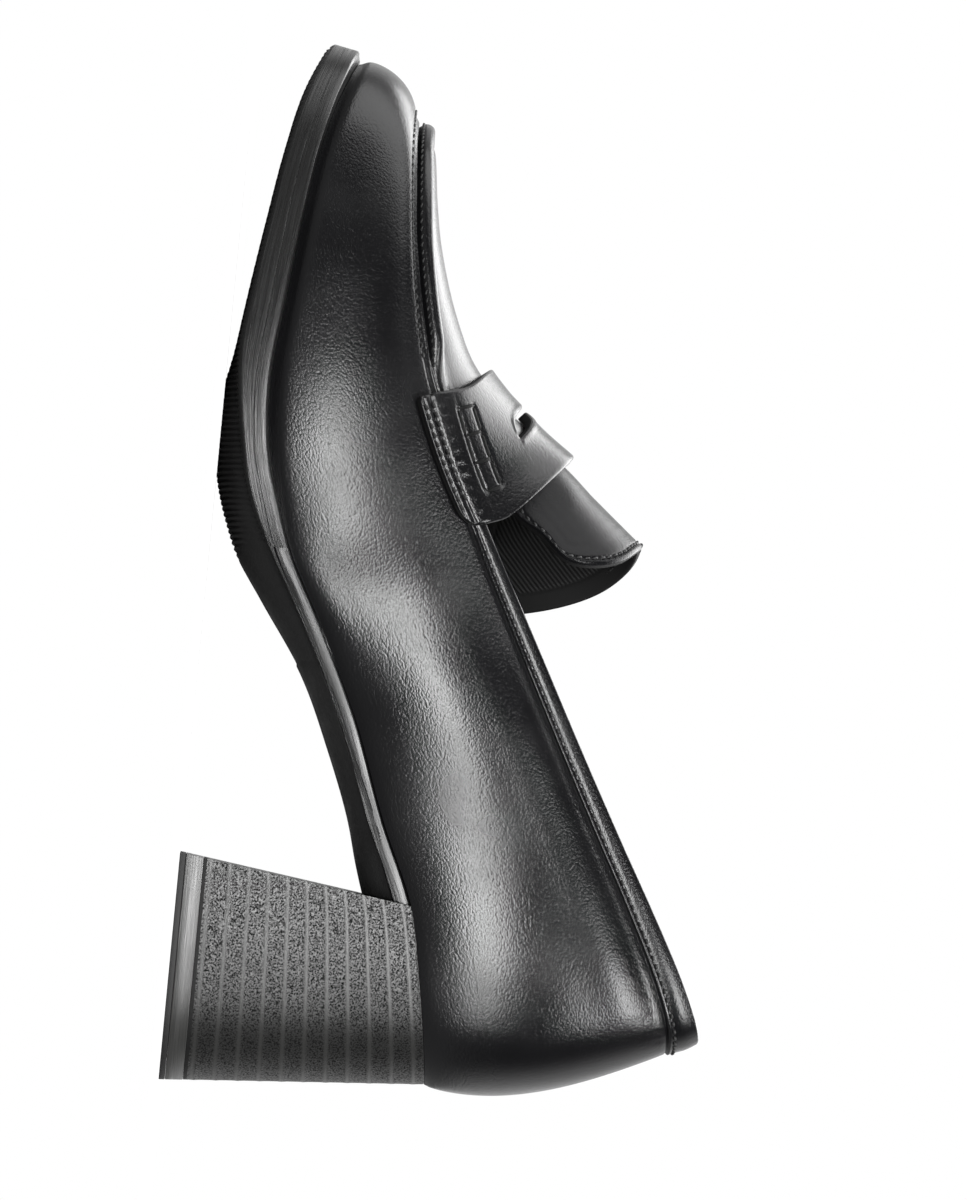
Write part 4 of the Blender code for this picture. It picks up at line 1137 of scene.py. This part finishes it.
# %% Tongue sheet
Hang = namedtuple("Hang", "side leaves free half back back_power down down_power")
TONGUE_TIP_S = 135.6
TONGUE_TIP_Z = 101.9
TONGUE_LAT = Hang(0.92, 0.15, 0.50, 28.0, 11.0, 2.0, 13.0, 2.0)
TONGUE_MED = Hang(0.99, 0.05, 0.45, 27.0, 28.0, 1.6, 45.0, 3.0)
TONGUE_CHANGE = 0.8
TONGUE_ROWS = 2.0
TONGUE_ROOT = 0.012
TONGUE_CORNER = 0.34
TONGUE_ROUND = 0.50
TONGUE_THICK = 2.2
TONGUE_STEPS, TONGUE_COLUMNS = 90, 161
TONGUE_STITCH = 1.9

w = np.sin(np.linspace(-1, 1, TONGUE_COLUMNS) * np.pi / 2)
shares = np.sin(np.linspace(0, 1, TONGUE_STEPS) * np.pi / 2)
corner = np.clip((np.abs(w) - TONGUE_ROUND) / (1 - TONGUE_ROUND), 0, 1)
reach = 1 - TONGUE_CORNER * (1 - np.sqrt(1 - corner ** 2))
b = TONGUE_ROOT + shares[:, None] * (reach[None] - TONGUE_ROOT)
outer, inner = TONGUE_LAT, TONGUE_MED
size = np.abs(w)
back = np.where(w < 0, outer.back * size ** outer.back_power, inner.back * size ** inner.back_power)
down = np.where(w < 0, outer.down * size ** outer.down_power, inner.down * size ** inner.down_power)
change = ease(0.0, TONGUE_CHANGE, w)
side = outer.side + (inner.side - outer.side) * change
half = outer.half + (inner.half - outer.half) * change
leaves = outer.leaves + (inner.leaves - outer.leaves) * change
free = outer.free + (inner.free - outer.free) * change
root = apron(np.full(w.shape, float(THROAT_ROW)), w * side)
tongue_tip = np.stack([TONGUE_TIP_S - back, -half * w, TONGUE_TIP_Z - down], axis=-1)
straight = root + (tongue_tip - root) * b[..., None]
behind = np.maximum(THROAT_ROW - TONGUE_ROWS * b, CROWNS[0].row)
follow = apron(behind, np.broadcast_to(w * side, b.shape))
leave = ease(leaves, free, b)[..., None]
tongue = follow * (1 - leave) + straight * leave
tongue_faces = quads(numbers(b.shape))
tongue_normal = sheet_normals(tongue.reshape(-1, 3), tongue_faces).reshape(tongue.shape)
print("tongue reaches", run_of(tongue[:, TONGUE_COLUMNS // 2])[-1].round(1), "mm")

# %% Tongue heights
TONGUE_TURN = 4.0       # radius of the border round a corner
TONGUE_EDGE = 0.8
UNDER_EDGE = 0.6        # the lower edge is rounded by this share of the upper one
TONGUE_SEWING = Stitch(2.3, 1.7, 0.30)
TONGUE_PUCKERS = Bell(TONGUE_STITCH, 1.3, 0.03)
TONGUE_BORDER = [
    Bell(TONGUE_STITCH, 0.45, 0.24),    # dip of the stitches
    Bell(0.95, 0.55, -0.18),            # bead along the edge
]
TONGUE_FLOW = [Bell(5.6, 0.9, 0.05), Bell(8.4, 1.1, 0.04), Bell(11.6, 1.3, 0.03)]
FLOW_SIDE = (0.15, 0.45)
FLOW_LEAST = 0.35
FLOW_ROOT = (1.5, 9.0)
LINING_GROOVE = Bell(5.0, 0.5, -0.15)

from_left = run_of(tongue, 1)
from_side = np.minimum(from_left, from_left[:, -1:] - from_left)
from_root = run_of(tongue)
from_tip = from_root[-1:] - from_root
round_edge = np.hypot(np.clip(TONGUE_TURN - from_side, 0, None), np.clip(TONGUE_TURN - from_tip, 0, None))
at_corner = (from_side < TONGUE_TURN) & (from_tip < TONGUE_TURN)
from_edge = np.where(at_corner, np.clip(TONGUE_TURN - round_edge, 0, None), np.minimum(from_side, from_tip))
pucker = np.sin(2 * np.pi * (from_left + from_root) / TONGUE_SEWING.pitch)
pucker *= bells(from_edge, [TONGUE_PUCKERS])
flow = bells(from_edge, TONGUE_FLOW) * ease(*FLOW_ROOT, from_root)
flow *= FLOW_LEAST + (1 - FLOW_LEAST) * ease(*FLOW_SIDE, size)[None]
edge_drop = round_off(from_edge, TONGUE_EDGE)
outside = edge_drop + bells(from_edge, TONGUE_BORDER) + pucker + flow
inside = TONGUE_THICK - edge_drop * UNDER_EDGE + bells(from_edge, [LINING_GROOVE])
print("tongue thickness up to", (inside - outside).max().round(2), "mm")

# %% Ribbed lining and the tongue
RIB_PITCH = 1.1
RIB_FROM = (4.6, 5.6)   # the border of the lining is plain up to here


def chart_place(tree):
    """Place on a piece's own chart."""
    return add_node(tree, "ShaderNodeUVMap", {"uv_map": "chart"}).outputs[0]


ribbed_lining, tree, shader = start_material("ribbed_lining", (0.006,) * 3, 0.6, Specular_IOR_Level=0.2)
parts = add_node(tree, "ShaderNodeSeparateXYZ", Vector=chart_place(tree))
ribs = maths(tree, "SINE", maths(tree, "MULTIPLY", parts.outputs["X"], 2 * np.pi / RIB_PITCH))
clear_border = stretch_to(tree, parts.outputs["Y"], 0.0, 1.0, RIB_FROM)
emboss(tree, shader, maths(tree, "MULTIPLY", ribs, clear_border), 0.00008, 0.7)

tongue_shell, shell_faces = thicken(tongue.reshape(-1, 3), tongue_faces, outside.ravel(), inside.ravel())
across = from_left - from_left[:, TONGUE_COLUMNS // 2, None]
chart = np.stack([across, from_edge], axis=-1).reshape(-1, 2)
make_piece("tongue_flap", tongue_shell, shell_faces, [tongue_leather, ribbed_lining, cut_edge_painted_shade],
           ["tongue"], shell_finish(tongue_faces, shell_faces),
           np.concatenate([chart, chart]))

# %% Stitches of the tongue
SIDE_STEPS, TURN_STEPS, TIP_STEPS = 60, 24, 80
TONGUE_SEWN = 24.0      # the row starts this far from the tip
SMOOTHINGS = 6
FAR_OFF = 1e6


def edge_targets(inset, corner, long_side, long_tip):
    """Distances (from side, from tip) along a line inside one side, round a corner and along the tip."""
    turn = np.linspace(0, np.pi / 2, TURN_STEPS)
    side = np.stack([np.full(SIDE_STEPS, inset), np.linspace(long_side, corner, SIDE_STEPS)], axis=-1)
    round_part = corner - (corner - inset) * np.stack([np.cos(turn), np.sin(turn)], axis=-1)
    end = np.stack([np.linspace(corner, long_tip, TIP_STEPS), np.full(TIP_STEPS, inset)], axis=-1)
    return np.concatenate([side, round_part, end])


def nearest(targets, keep):
    """Numbers of the grid points whose distances come closest to the targets, among the columns kept."""
    here = np.stack([from_side.ravel(), from_tip.ravel()], axis=-1)
    here = np.where(np.broadcast_to(keep[None], from_side.shape).reshape(-1, 1), here, FAR_OFF)
    return np.argmin(((targets[:, None] - here[None]) ** 2).sum(axis=-1), axis=1)


targets = edge_targets(TONGUE_STITCH, TONGUE_TURN, TONGUE_SEWN, from_left[-1, -1] / 2)
order = np.concatenate([nearest(targets, w <= 0), nearest(targets, w >= 0)[::-1]])
path = (tongue + tongue_normal * outside[..., None]).reshape(-1, 3)[order]
path_normal = -tongue_normal.reshape(-1, 3)[order]
for _ in range(SMOOTHINGS):
    path[1:-1] = (path[:-2] + 2 * path[1:-1] + path[2:]) / 4
make_stitches("tongue_stitching", [stitch_row(path, path_normal, TONGUE_SEWING)])

# %% [markdown]
# The sole is built in layers as on the real shoe: a sock inside, a welt layer along the forefoot edge, the
# outsole with its convex waist and ribbed tread, and the stacked heel. Each layer is a slab: loops of points
# stacked upwards, closed above and below by rungs that run across the shoe. The rungs follow the same rows of
# the last on both sides, so the grid stays even and the tread can be cut into it.

# %% Slab of stacked loops
UNDER_ARCH = 3.4
TIP_ROOM = 0.12         # loops stop this share of a row before the toe and the heel's back
DENSE_STEPS = 3000


def slab(loops, segments, under=None, cut=None):
    """Points, faces, chart and number of side faces of a solid from stacked loops, whose point i faces point
    -1-i across the shoe. The first loop's rungs arch to the heights under by 1 - |across|^3.4, and cut
    changes them further."""
    half = loops[0].shape[0] // 2
    steps = np.linspace(0, 1, segments + 1)
    grids = []
    for loop in loops:
        near, far = loop[:half, None], loop[::-1][:half, None]
        grids.append(near + (far - near) * steps[None, :, None])
    if under is not None:
        arch = 1 - np.abs(2 * steps - 1) ** UNDER_ARCH
        grids[0][..., 2] += (under[:half] - loops[0][:half, 2])[:, None] * arch[None]
    if cut is not None:
        grids[0] = cut(grids[0])
    rings = np.stack([
        np.concatenate([grid[:, 0], grid[-1, 1:-1], grid[::-1, -1], grid[0, -2:0:-1]]) for grid in grids
    ])
    run = run_of(rings[-1])
    rise = run_of(rings).mean(axis=1)
    index = numbers(rings.shape[:2])
    faces = [quads(index, closed=True)]
    points = [rings.reshape(-1, 3)]
    charts = [np.stack(np.broadcast_arrays(run[None], rise[:, None]), axis=-1).reshape(-1, 2)]
    for grid in (grids[0], grids[-1]):
        faces.append(quads(numbers(grid.shape[:2], sum(map(len, points)))))
        points.append(grid.reshape(-1, 3))
        charts.append(grid[..., :2].reshape(-1, 2))
    return np.concatenate(points), np.concatenate(faces), np.concatenate(charts), len(faces[0])


def even_rows(first, last, step):
    """Positions from a row of the outer side round the toe to the same row inside, evenly spaced."""
    dense = np.linspace(first, last, DENSE_STEPS)
    run = run_of(ring_line("base", dense))
    side = np.interp(np.linspace(0, run[-1], int(run[-1] / step) + 1), run, dense)
    return np.concatenate([side, 2 * TOE_ROW - side[::-1]])


print("slab helpers ready")

# %% Brushed edge, tread and rubber
COLOUR_A, COLOUR_B, COLOUR_OUT = 6, 7, 2    # colour sockets of a Mix node


def blend(tree, share, first, second):
    """Colour that goes from the first to the second one as the share goes from 0 to 1."""
    made = add_node(tree, "ShaderNodeMix", {"data_type": "RGBA"}, Factor=share)
    feed(tree, made.inputs[COLOUR_A], first)
    feed(tree, made.inputs[COLOUR_B], second)
    return made.outputs[COLOUR_OUT]


def brushed(name, colour, roughness, grain_long, grain_high, spread, **sockets):
    """Edge finish: noise stretched along the edge by the chart, in colour, shine and height."""
    material, tree, shader = start_material(name, colour, roughness, **sockets)
    drawn = drawn_out(tree, chart_place(tree), (grain_long, grain_high, 1.0))
    streak = vary(tree, drawn, 1.0, 0.0, 1.0, 4.0)
    dark = (*(channel * (1 - spread) for channel in colour), 1.0)
    light = (*(channel * (1 + spread) for channel in colour), 1.0)
    feed(tree, shader.inputs["Base Color"], blend(tree, streak, dark, light))
    feed(tree, shader.inputs["Roughness"], vary(tree, drawn, 0.6, roughness - 0.07, roughness + 0.08))
    emboss(tree, shader, streak, 0.00006, 0.35)
    return material


sole_edge = brushed("edge_finish", (0.010,) * 3, 0.27, 14.0, 0.22, 0.5)
tread_rubber = grainy("tread_rubber", (0.018,) * 3, 0.6, 1400.0, 0.0001, 0.4, 4.0, (120.0, 0.5, 0.72))
print("sole finishes:", sole_edge.name, tread_rubber.name)

# %% Margins of the sole
Margin = namedtuple("Margin", "row top bottom")
MARGINS = [
    Margin(4, -0.6, -1.0),
    Margin(6, 0.2, -0.4),
    Margin(8, 1.4, 1.0),
    Margin(9, 2.2, 2.0),
    Margin(12, 2.6, 1.9),
    Margin(15, 2.3, 2.4),
    Margin(18, 1.7, 3.4),
]
Under = namedtuple("Under", "s edge middle")
UNDERSIDE = [
    Under(46.0, 50.6, 44.2),
    Under(55.0, 47.2, 41.3),
    Under(64.0, 43.8, 38.8),
    Under(81.0, 36.4, 32.2),
    Under(98.0, 28.8, 24.2),
    Under(115.0, 19.6, 12.6),
    Under(123.0, 14.8, 7.2),
    Under(132.0, 9.8, 3.2),
    Under(140.0, 6.6, 0.6),
    Under(149.0, 4.6, -1.0),
    Under(160.0, 2.8, -0.9),
    Under(172.0, 2.0, 1.4),
    Under(188.0, 3.9, 3.6),
    Under(204.0, 6.2, 6.0),
    Under(219.0, 8.6, 8.4),
    Under(235.0, 12.2, 12.0),
    Under(248.0, 17.4, 17.2),
]
WELT_ROW = 8.2          # the welt starts at this row
WELT_THICK = 3.2
INSOLE_THICK = 2.6


def edge_loop(u, share, inset=0.0):
    """Loop of the sole's edge: the feather line pushed out by the margin, which goes from top to bottom."""
    upper_margin = smooth_table(MARGINS, "row", "top", row_of(u))
    lower_margin = smooth_table(MARGINS, "row", "bottom", row_of(u))
    margin = upper_margin + (lower_margin - upper_margin) * share - inset
    return ring_line("base", u) + outward("base", u) * margin[:, None]


print("margin rows:", len(MARGINS), "underside rows:", len(UNDERSIDE))

# %% Welt
EdgeRow = namedtuple("EdgeRow", "depth inset")
TOP_EDGE = [
    EdgeRow(GAP + 0.5, 0.0),
    EdgeRow(GAP + 0.18, 0.12),
    EdgeRow(GAP, 0.45),
    EdgeRow(GAP, 1.0),
]
WELT_FOOT = [
    EdgeRow(GAP + WELT_THICK, 0.04),
    EdgeRow(GAP + WELT_THICK - 0.04, 0.0),
    EdgeRow(GAP + WELT_THICK - 0.12, 0.0),
    EdgeRow(GAP + WELT_THICK * 0.5, 0.0),
]
WELT_STEP = 0.7
WELT_RUNGS = 12
ROW_HAIR = 0.001        # share of a row that keeps two ends apart
HAIR = 0.02             # room left where two layers are pressed together
UNDER_WALL = 0.4        # the layer below rises to the wall this far inside the feather line


def top_of_layer(u):
    """Last loop of a layer: inside the feather line, a hair below the wall that stands on it."""
    loop = ring_line("base", u) - outward("base", u) * UNDER_WALL
    loop[:, 2] -= HAIR
    return loop


u = even_rows(WELT_ROW + 4 * ROW_HAIR, TOE_ROW - TIP_ROOM, WELT_STEP)
edge_high = ring_line("base", u)[:, 2] - smooth_table(UNDERSIDE, "s", "edge", edge_loop(u, 1.0)[:, 0])
loops = []
for edge in WELT_FOOT + TOP_EDGE:
    loop = edge_loop(u, edge.depth / edge_high, edge.inset)
    loop[:, 2] -= edge.depth
    loops.append(loop)
loops.append(top_of_layer(u))
points, welt_faces, chart = slab(loops, WELT_RUNGS)[:3]
make_piece("welt_layer", points, welt_faces, [sole_edge], ["welt"], None, chart)

# %% Tread
TREAD_START = 121.0
TREAD_ROUND = 22.0
TREAD_HALF = 40.0
TREAD_EDGE = (-0.4, 0.8)
TREAD_PITCH = 1.3
TREAD_DEEP = 0.5
SMOOTH_LIFT = 0.35      # the smooth sole beside the pad lies this much higher
SMOOTH_FROM = 100.0


def tread_wave(s):
    """Ribs along the shoe: half a cosine wave from 0 on a rib to 1 in a groove."""
    return 0.5 - 0.5 * np.cos(2 * np.pi * s / TREAD_PITCH)


def in_tread(s, x):
    """1 on the ribbed pad, which starts with a rounded end behind the ball, and 0 on the smooth waist."""
    start = TREAD_START + TREAD_ROUND * (1 - np.sqrt(np.clip(1 - (x / TREAD_HALF) ** 2, 0, 1)))
    return ease(*TREAD_EDGE, s - start)


def cut_tread(grid):
    """Ribs across the pad go up by their wave, the smooth sole beside it is raised, and none is below 0."""
    s, x, z = grid[..., 0], grid[..., 1], np.maximum(grid[..., 2], 0.0)
    pad = in_tread(s, x)
    grid[..., 2] = z + TREAD_DEEP * tread_wave(s) * pad + SMOOTH_LIFT * (1 - pad) * (s > SMOOTH_FROM)
    return grid


print("tread starts at", TREAD_START, "mm")

# %% Loops of the outsole
HEEL_LENGTH = 53.8
BREAST_LEAN = 7.3
SEAT_BREAST_Z = 54.7
WAIST_STEP, PAD_STEP = 0.8, 0.24
SERRATED_INSET = 0.7
FootRow = namedtuple("FootRow", "inset cut lift raised")
SOLE_FOOT = [
    FootRow(1.5, 0.0, 0.0, 0.0),
    FootRow(0.75, 0.2, 0.22, 0.3),
    FootRow(0.28, 0.35, 0.65, 0.0),
    FootRow(0.05, 0.0, 1.1, 0.0),
    FootRow(0.0, 0.0, 1.5, 0.0),
]
LINE_HALF = 0.22        # groove that goes on where the welt ends
LINE_DEEP = 0.55
HIDDEN_SHARE, HIDDEN_HALF = 0.05, 0.01  # its place under the welt, where it has no depth
SHARP_TOP = 0.1         # share of the rounding that is left under the welt

side_waist = even_rows(BREAST_ROW, WELT_ROW, WAIST_STEP)
side_front = even_rows(WELT_ROW + 3 * ROW_HAIR, TOE_ROW - TIP_ROOM, PAD_STEP)
quarter = len(side_waist) // 2
u = np.concatenate([side_waist[:quarter], side_front, side_waist[quarter:]])
forward = row_of(u) > WELT_ROW + ROW_HAIR
base_z = ring_line("base", u)[:, 2]
foot_s = edge_loop(u, 1.0)[:, 0]
foot_z = smooth_table(UNDERSIDE, "s", "edge", foot_s)
top_z = base_z - GAP - forward * (WELT_THICK + HAIR)
serration = tread_wave(edge_loop(u, 1.0, SERRATED_INSET)[:, 0]) * in_tread(foot_s, 0.0)


def sole_loop(share, inset, lift):
    """Loop between the edge's top (share 0) and its foot (share 1), drawn in by inset, raised by lift."""
    z = top_z + (foot_z - top_z) * share + lift
    loop = edge_loop(u, np.clip((base_z - z) / (base_z - foot_z), 0, 1), inset)
    loop[:, 2] = z
    return loop


line_share = np.where(forward, HIDDEN_SHARE, WELT_THICK / (top_z - foot_z))
line_half = np.where(forward, HIDDEN_HALF, LINE_HALF / (top_z - foot_z))
sharp = np.where(forward, SHARP_TOP, 1.0)
loops = [
    sole_loop(1.0, row.inset + row.cut * serration, row.lift + row.raised * serration) for row in SOLE_FOOT
]
loops += [
    sole_loop(0.5 + 0.5 * line_share, 0.0, 0.0),
    sole_loop(line_share + line_half, 0.0, 0.0),
    sole_loop(line_share, np.where(forward, 0.0, LINE_DEEP), 0.0),
    sole_loop(line_share - line_half, 0.0, 0.0),
]
loops += [sole_loop(0.0, edge.inset * sharp, (GAP - edge.depth) * sharp) for edge in TOP_EDGE]
top_loop = top_of_layer(u)
top_loop[:, 2] = np.where(forward, top_z, top_loop[:, 2])
loops.append(top_loop)
print("outsole loops:", len(loops), "of", len(u), "points")

# %% Outsole
SOLE_RUNGS = 28


def breast_s(z):
    """Front face of the heel: its place along the shoe at height z."""
    return HEEL_LENGTH - BREAST_LEAN * z / SEAT_BREAST_Z


middle = smooth_table(UNDERSIDE, "s", "middle", loops[0][:, 0])
points, sole_faces, chart, ring_faces = slab(loops, SOLE_RUNGS, middle, cut_tread)
points[:, 0] = np.maximum(points[:, 0], breast_s(points[:, 2]) + GAP / 3)
finish = np.zeros(len(sole_faces))
finish[ring_faces:] = 1
make_piece("outsole_layer", points, sole_faces, [sole_edge, tread_rubber], ["outsole"], finish,
           chart)

# %% Sock inside
SockRow = namedtuple("SockRow", "rise inset")
SOCK_EDGE = [
    SockRow(0.0, 0.5),
    SockRow(0.5, 0.1),
    SockRow(INSOLE_THICK - 0.6, 0.1),
    SockRow(INSOLE_THICK - 0.15, 0.35),
    SockRow(INSOLE_THICK, 0.9),
]
SOCK_STEP = 1.2
SOCK_RUNGS = 40
SOCK_HALF = 30.0
SOCK_DISH = 0.5         # its sides curl up by this much

u = even_rows(TIP_ROOM, TOE_ROW - TIP_ROOM, SOCK_STEP)
loops = []
for row in SOCK_EDGE:
    loop = ring_line("base", u) - outward("base", u) * (WALL + row.inset)
    loop[:, 2] += row.rise
    loops.append(loop)
points, sock_faces, chart = slab(loops, SOCK_RUNGS)[:3]
points[:, 2] += SOCK_DISH * np.clip(np.abs(points[:, 1]) / SOCK_HALF, 0, 1) ** 2
make_piece("sock", points, sock_faces, [sock_leather], ["insole"], None, chart)

# %% [markdown]
# The block heel is faced like a stack of leather lifts: fine ridges run round it, a little closer together at
# the front, over a speckled grey ground. Below it lie a smooth slab and a thin rubber top lift. A texture
# alone would leave the outline straight, so the ridges are cut into the loops of the slab.

# %% Heel loops
HEEL_FLARE = 1.09
LIFT_COUNT = 11
SLAB_THICK = 4.2
TOP_LIFT_THICK = 1.4
HEEL_COLUMNS = 110
LIFT_STEPS = 12
RIDGE_HIGH = 0.09
RIDGE_PLACE = 0.5       # share of a lift's height
RIDGE_WIDE = 0.13
BREAST_FADE = 2.5


def heel_loop(share, low, relief=0.0):
    """Loop of the heel at a share of the height from the level low to the seat, moved out by relief."""
    u = np.linspace(BREAST_ROW, TIP_ROOM, HEEL_COLUMNS)
    u = np.concatenate([u, -u[::-1]])
    seat = ring_line("base", u)
    seat[:, 2] -= GAP / 3
    floor = seat * np.array([0.0, HEEL_FLARE, 0.0])
    back = SECTIONS[0].base_s
    breast = SECTIONS[BREAST_ROW].base_s
    floor[:, 0] = (seat[:, 0] - back) / (breast - back) * HEEL_LENGTH
    tall = low + (seat[:, 2] - low) * share
    loop = floor + (seat - floor) * (tall / seat[:, 2])[:, None]
    loop[:, 2] = tall
    fade = np.clip((breast - seat[:, 0]) / BREAST_FADE, 0, 1)
    return loop + outward("base", u) * (relief * fade)[:, None]


def inset_loop(loop, inset):
    """Loop drawn in towards its middle."""
    inward = (loop.mean(axis=0) - loop)[:, :2]
    loop[:, :2] += unit(inward) * inset
    return loop


print("lifts:", LIFT_COUNT, "of", LIFT_STEPS, "loops each")

# %% Heel finishes
SPECK_SIZES = (0.00044, 0.00044, 0.00040)
SPECK_DEPTH = 0.00003
SPECK_SHINE = (0.05, 0.85)
DULL, SHINY = 0.03, 0.78        # shine between and on the specks
DULL_ROUGH = 0.25       # the ground between the specks is rougher by this much
RIDGE_GREY = (0.024, 0.024, 0.023, 1.0)
RIDGE_GREY_MOST = 0.8
RIDGE_GREY_HALF = 0.20        # share of a lift over which the lighter grey of its ridge fades


def speckled(name, dark, light, roughness):
    """Stack finish: specks between a dark and a light grey, the light ones smoother and shinier, and a
    lighter grey on the ridge in the middle of each lift, whose place is the fraction of the chart's second
    coordinate."""
    material, tree, shader = start_material(name, dark, roughness, Specular_IOR_Level=(DULL + SHINY) / 2)
    speck = vary(tree, drawn_out(tree, object_place(tree), SPECK_SIZES), 1.0, 0.0, 1.0, 4.0)
    tint = blend(tree, speck, (*dark, 1.0), (*light, 1.0))
    lift_at = add_node(tree, "ShaderNodeSeparateXYZ", Vector=chart_place(tree)).outputs["Y"]
    away = maths(tree, "ABSOLUTE", maths(tree, "SUBTRACT", maths(tree, "FRACT", lift_at), RIDGE_PLACE))
    ridge_grey = stretch_to(tree, away, RIDGE_GREY_MOST, 0.0, (0.0, RIDGE_GREY_HALF), "SMOOTHSTEP")
    feed(tree, shader.inputs["Base Color"], blend(tree, ridge_grey, tint, RIDGE_GREY))
    polished = maths(tree, "MAXIMUM", speck, ridge_grey)
    shine = stretch_to(tree, polished, DULL, SHINY, SPECK_SHINE, "SMOOTHSTEP")
    feed(tree, shader.inputs["Specular IOR Level"], shine)
    feed(tree, shader.inputs["Roughness"], stretch_to(tree, polished, roughness + DULL_ROUGH, roughness))
    emboss(tree, shader, speck, SPECK_DEPTH)
    return material


heel_stack = speckled("heel_stack_face", (0.003,) * 3, (0.016, 0.016, 0.0155), 0.31)
heel_slab_face = brushed("heel_slab_face", (0.030, 0.030, 0.029), 0.36, 16.0, 0.3, 0.35,
                         Specular_IOR_Level=0.85)
top_lift = grainy("top_lift_face", (0.010,) * 3, 0.65, 1800.0, 0.0001, 0.4, 3.0)
print("heel finishes:", heel_stack.name, heel_slab_face.name, top_lift.name)

# %% Heel pieces
HEEL_RUNGS = 16
LAYER_BEVEL = 0.16
BEVEL_MIDDLE = 0.3      # place of a bevel's middle loop, as a share of it
SLAB_LOW = TOP_LIFT_THICK + 0.05
STACK_LOW = SLAB_LOW + SLAB_THICK + 0.06
JOINT_DOWN = 0.04
JOINT_INSET = 0.7
JOINT_LOOPS = 3         # loops of the black glue line at the foot of the stack
RIDGE_SUNK = 0.6        # share of a ridge's height that the ground between lies inwards
SEAT_SUNK = 0.15


def level_layer(name, low, high, material, node):
    """Level layer of the heel between two heights, with rounded edges."""
    bend = BEVEL_MIDDLE * LAYER_BEVEL
    levels = ((low, LAYER_BEVEL), (low + bend, bend), (low + LAYER_BEVEL, 0.0), ((low + high) / 2, 0.0),
              (high - LAYER_BEVEL, 0.0), (high - bend, bend), (high, LAYER_BEVEL))
    loops = [inset_loop(heel_loop(0.0, z), inset) for z, inset in levels]
    points, layer_faces, chart = slab(loops, HEEL_RUNGS)[:3]
    return make_piece(name, points, layer_faces, [material], [node], None, chart)


level_layer("top_lift", 0.0, TOP_LIFT_THICK, top_lift, "heel_top_lift")
level_layer("stack_slab", SLAB_LOW, SLAB_LOW + SLAB_THICK, heel_slab_face, "heel_slab")
loops = [inset_loop(heel_loop(0.0, STACK_LOW - JOINT_DOWN), JOINT_INSET)]
for lift in range(LIFT_COUNT):
    for step in range(LIFT_STEPS):
        phase = step / LIFT_STEPS
        relief = RIDGE_HIGH * (hump(phase, RIDGE_PLACE, RIDGE_WIDE) - RIDGE_SUNK)
        loops.append(heel_loop((lift + phase) / LIFT_COUNT, STACK_LOW, relief))
loops.append(heel_loop(1.0, STACK_LOW, -SEAT_SUNK))
points, heel_faces, chart, ring_faces = slab(loops, HEEL_RUNGS)
chart[:, 1] /= chart[:, 1].max() / LIFT_COUNT
finish = np.zeros(len(heel_faces))
finish[:JOINT_LOOPS * ring_faces // (len(loops) - 1)] = 1
make_piece("heel_stack", points, heel_faces, [heel_stack, cut_edge_painted_shade], ["heel_block"], finish,
           chart)
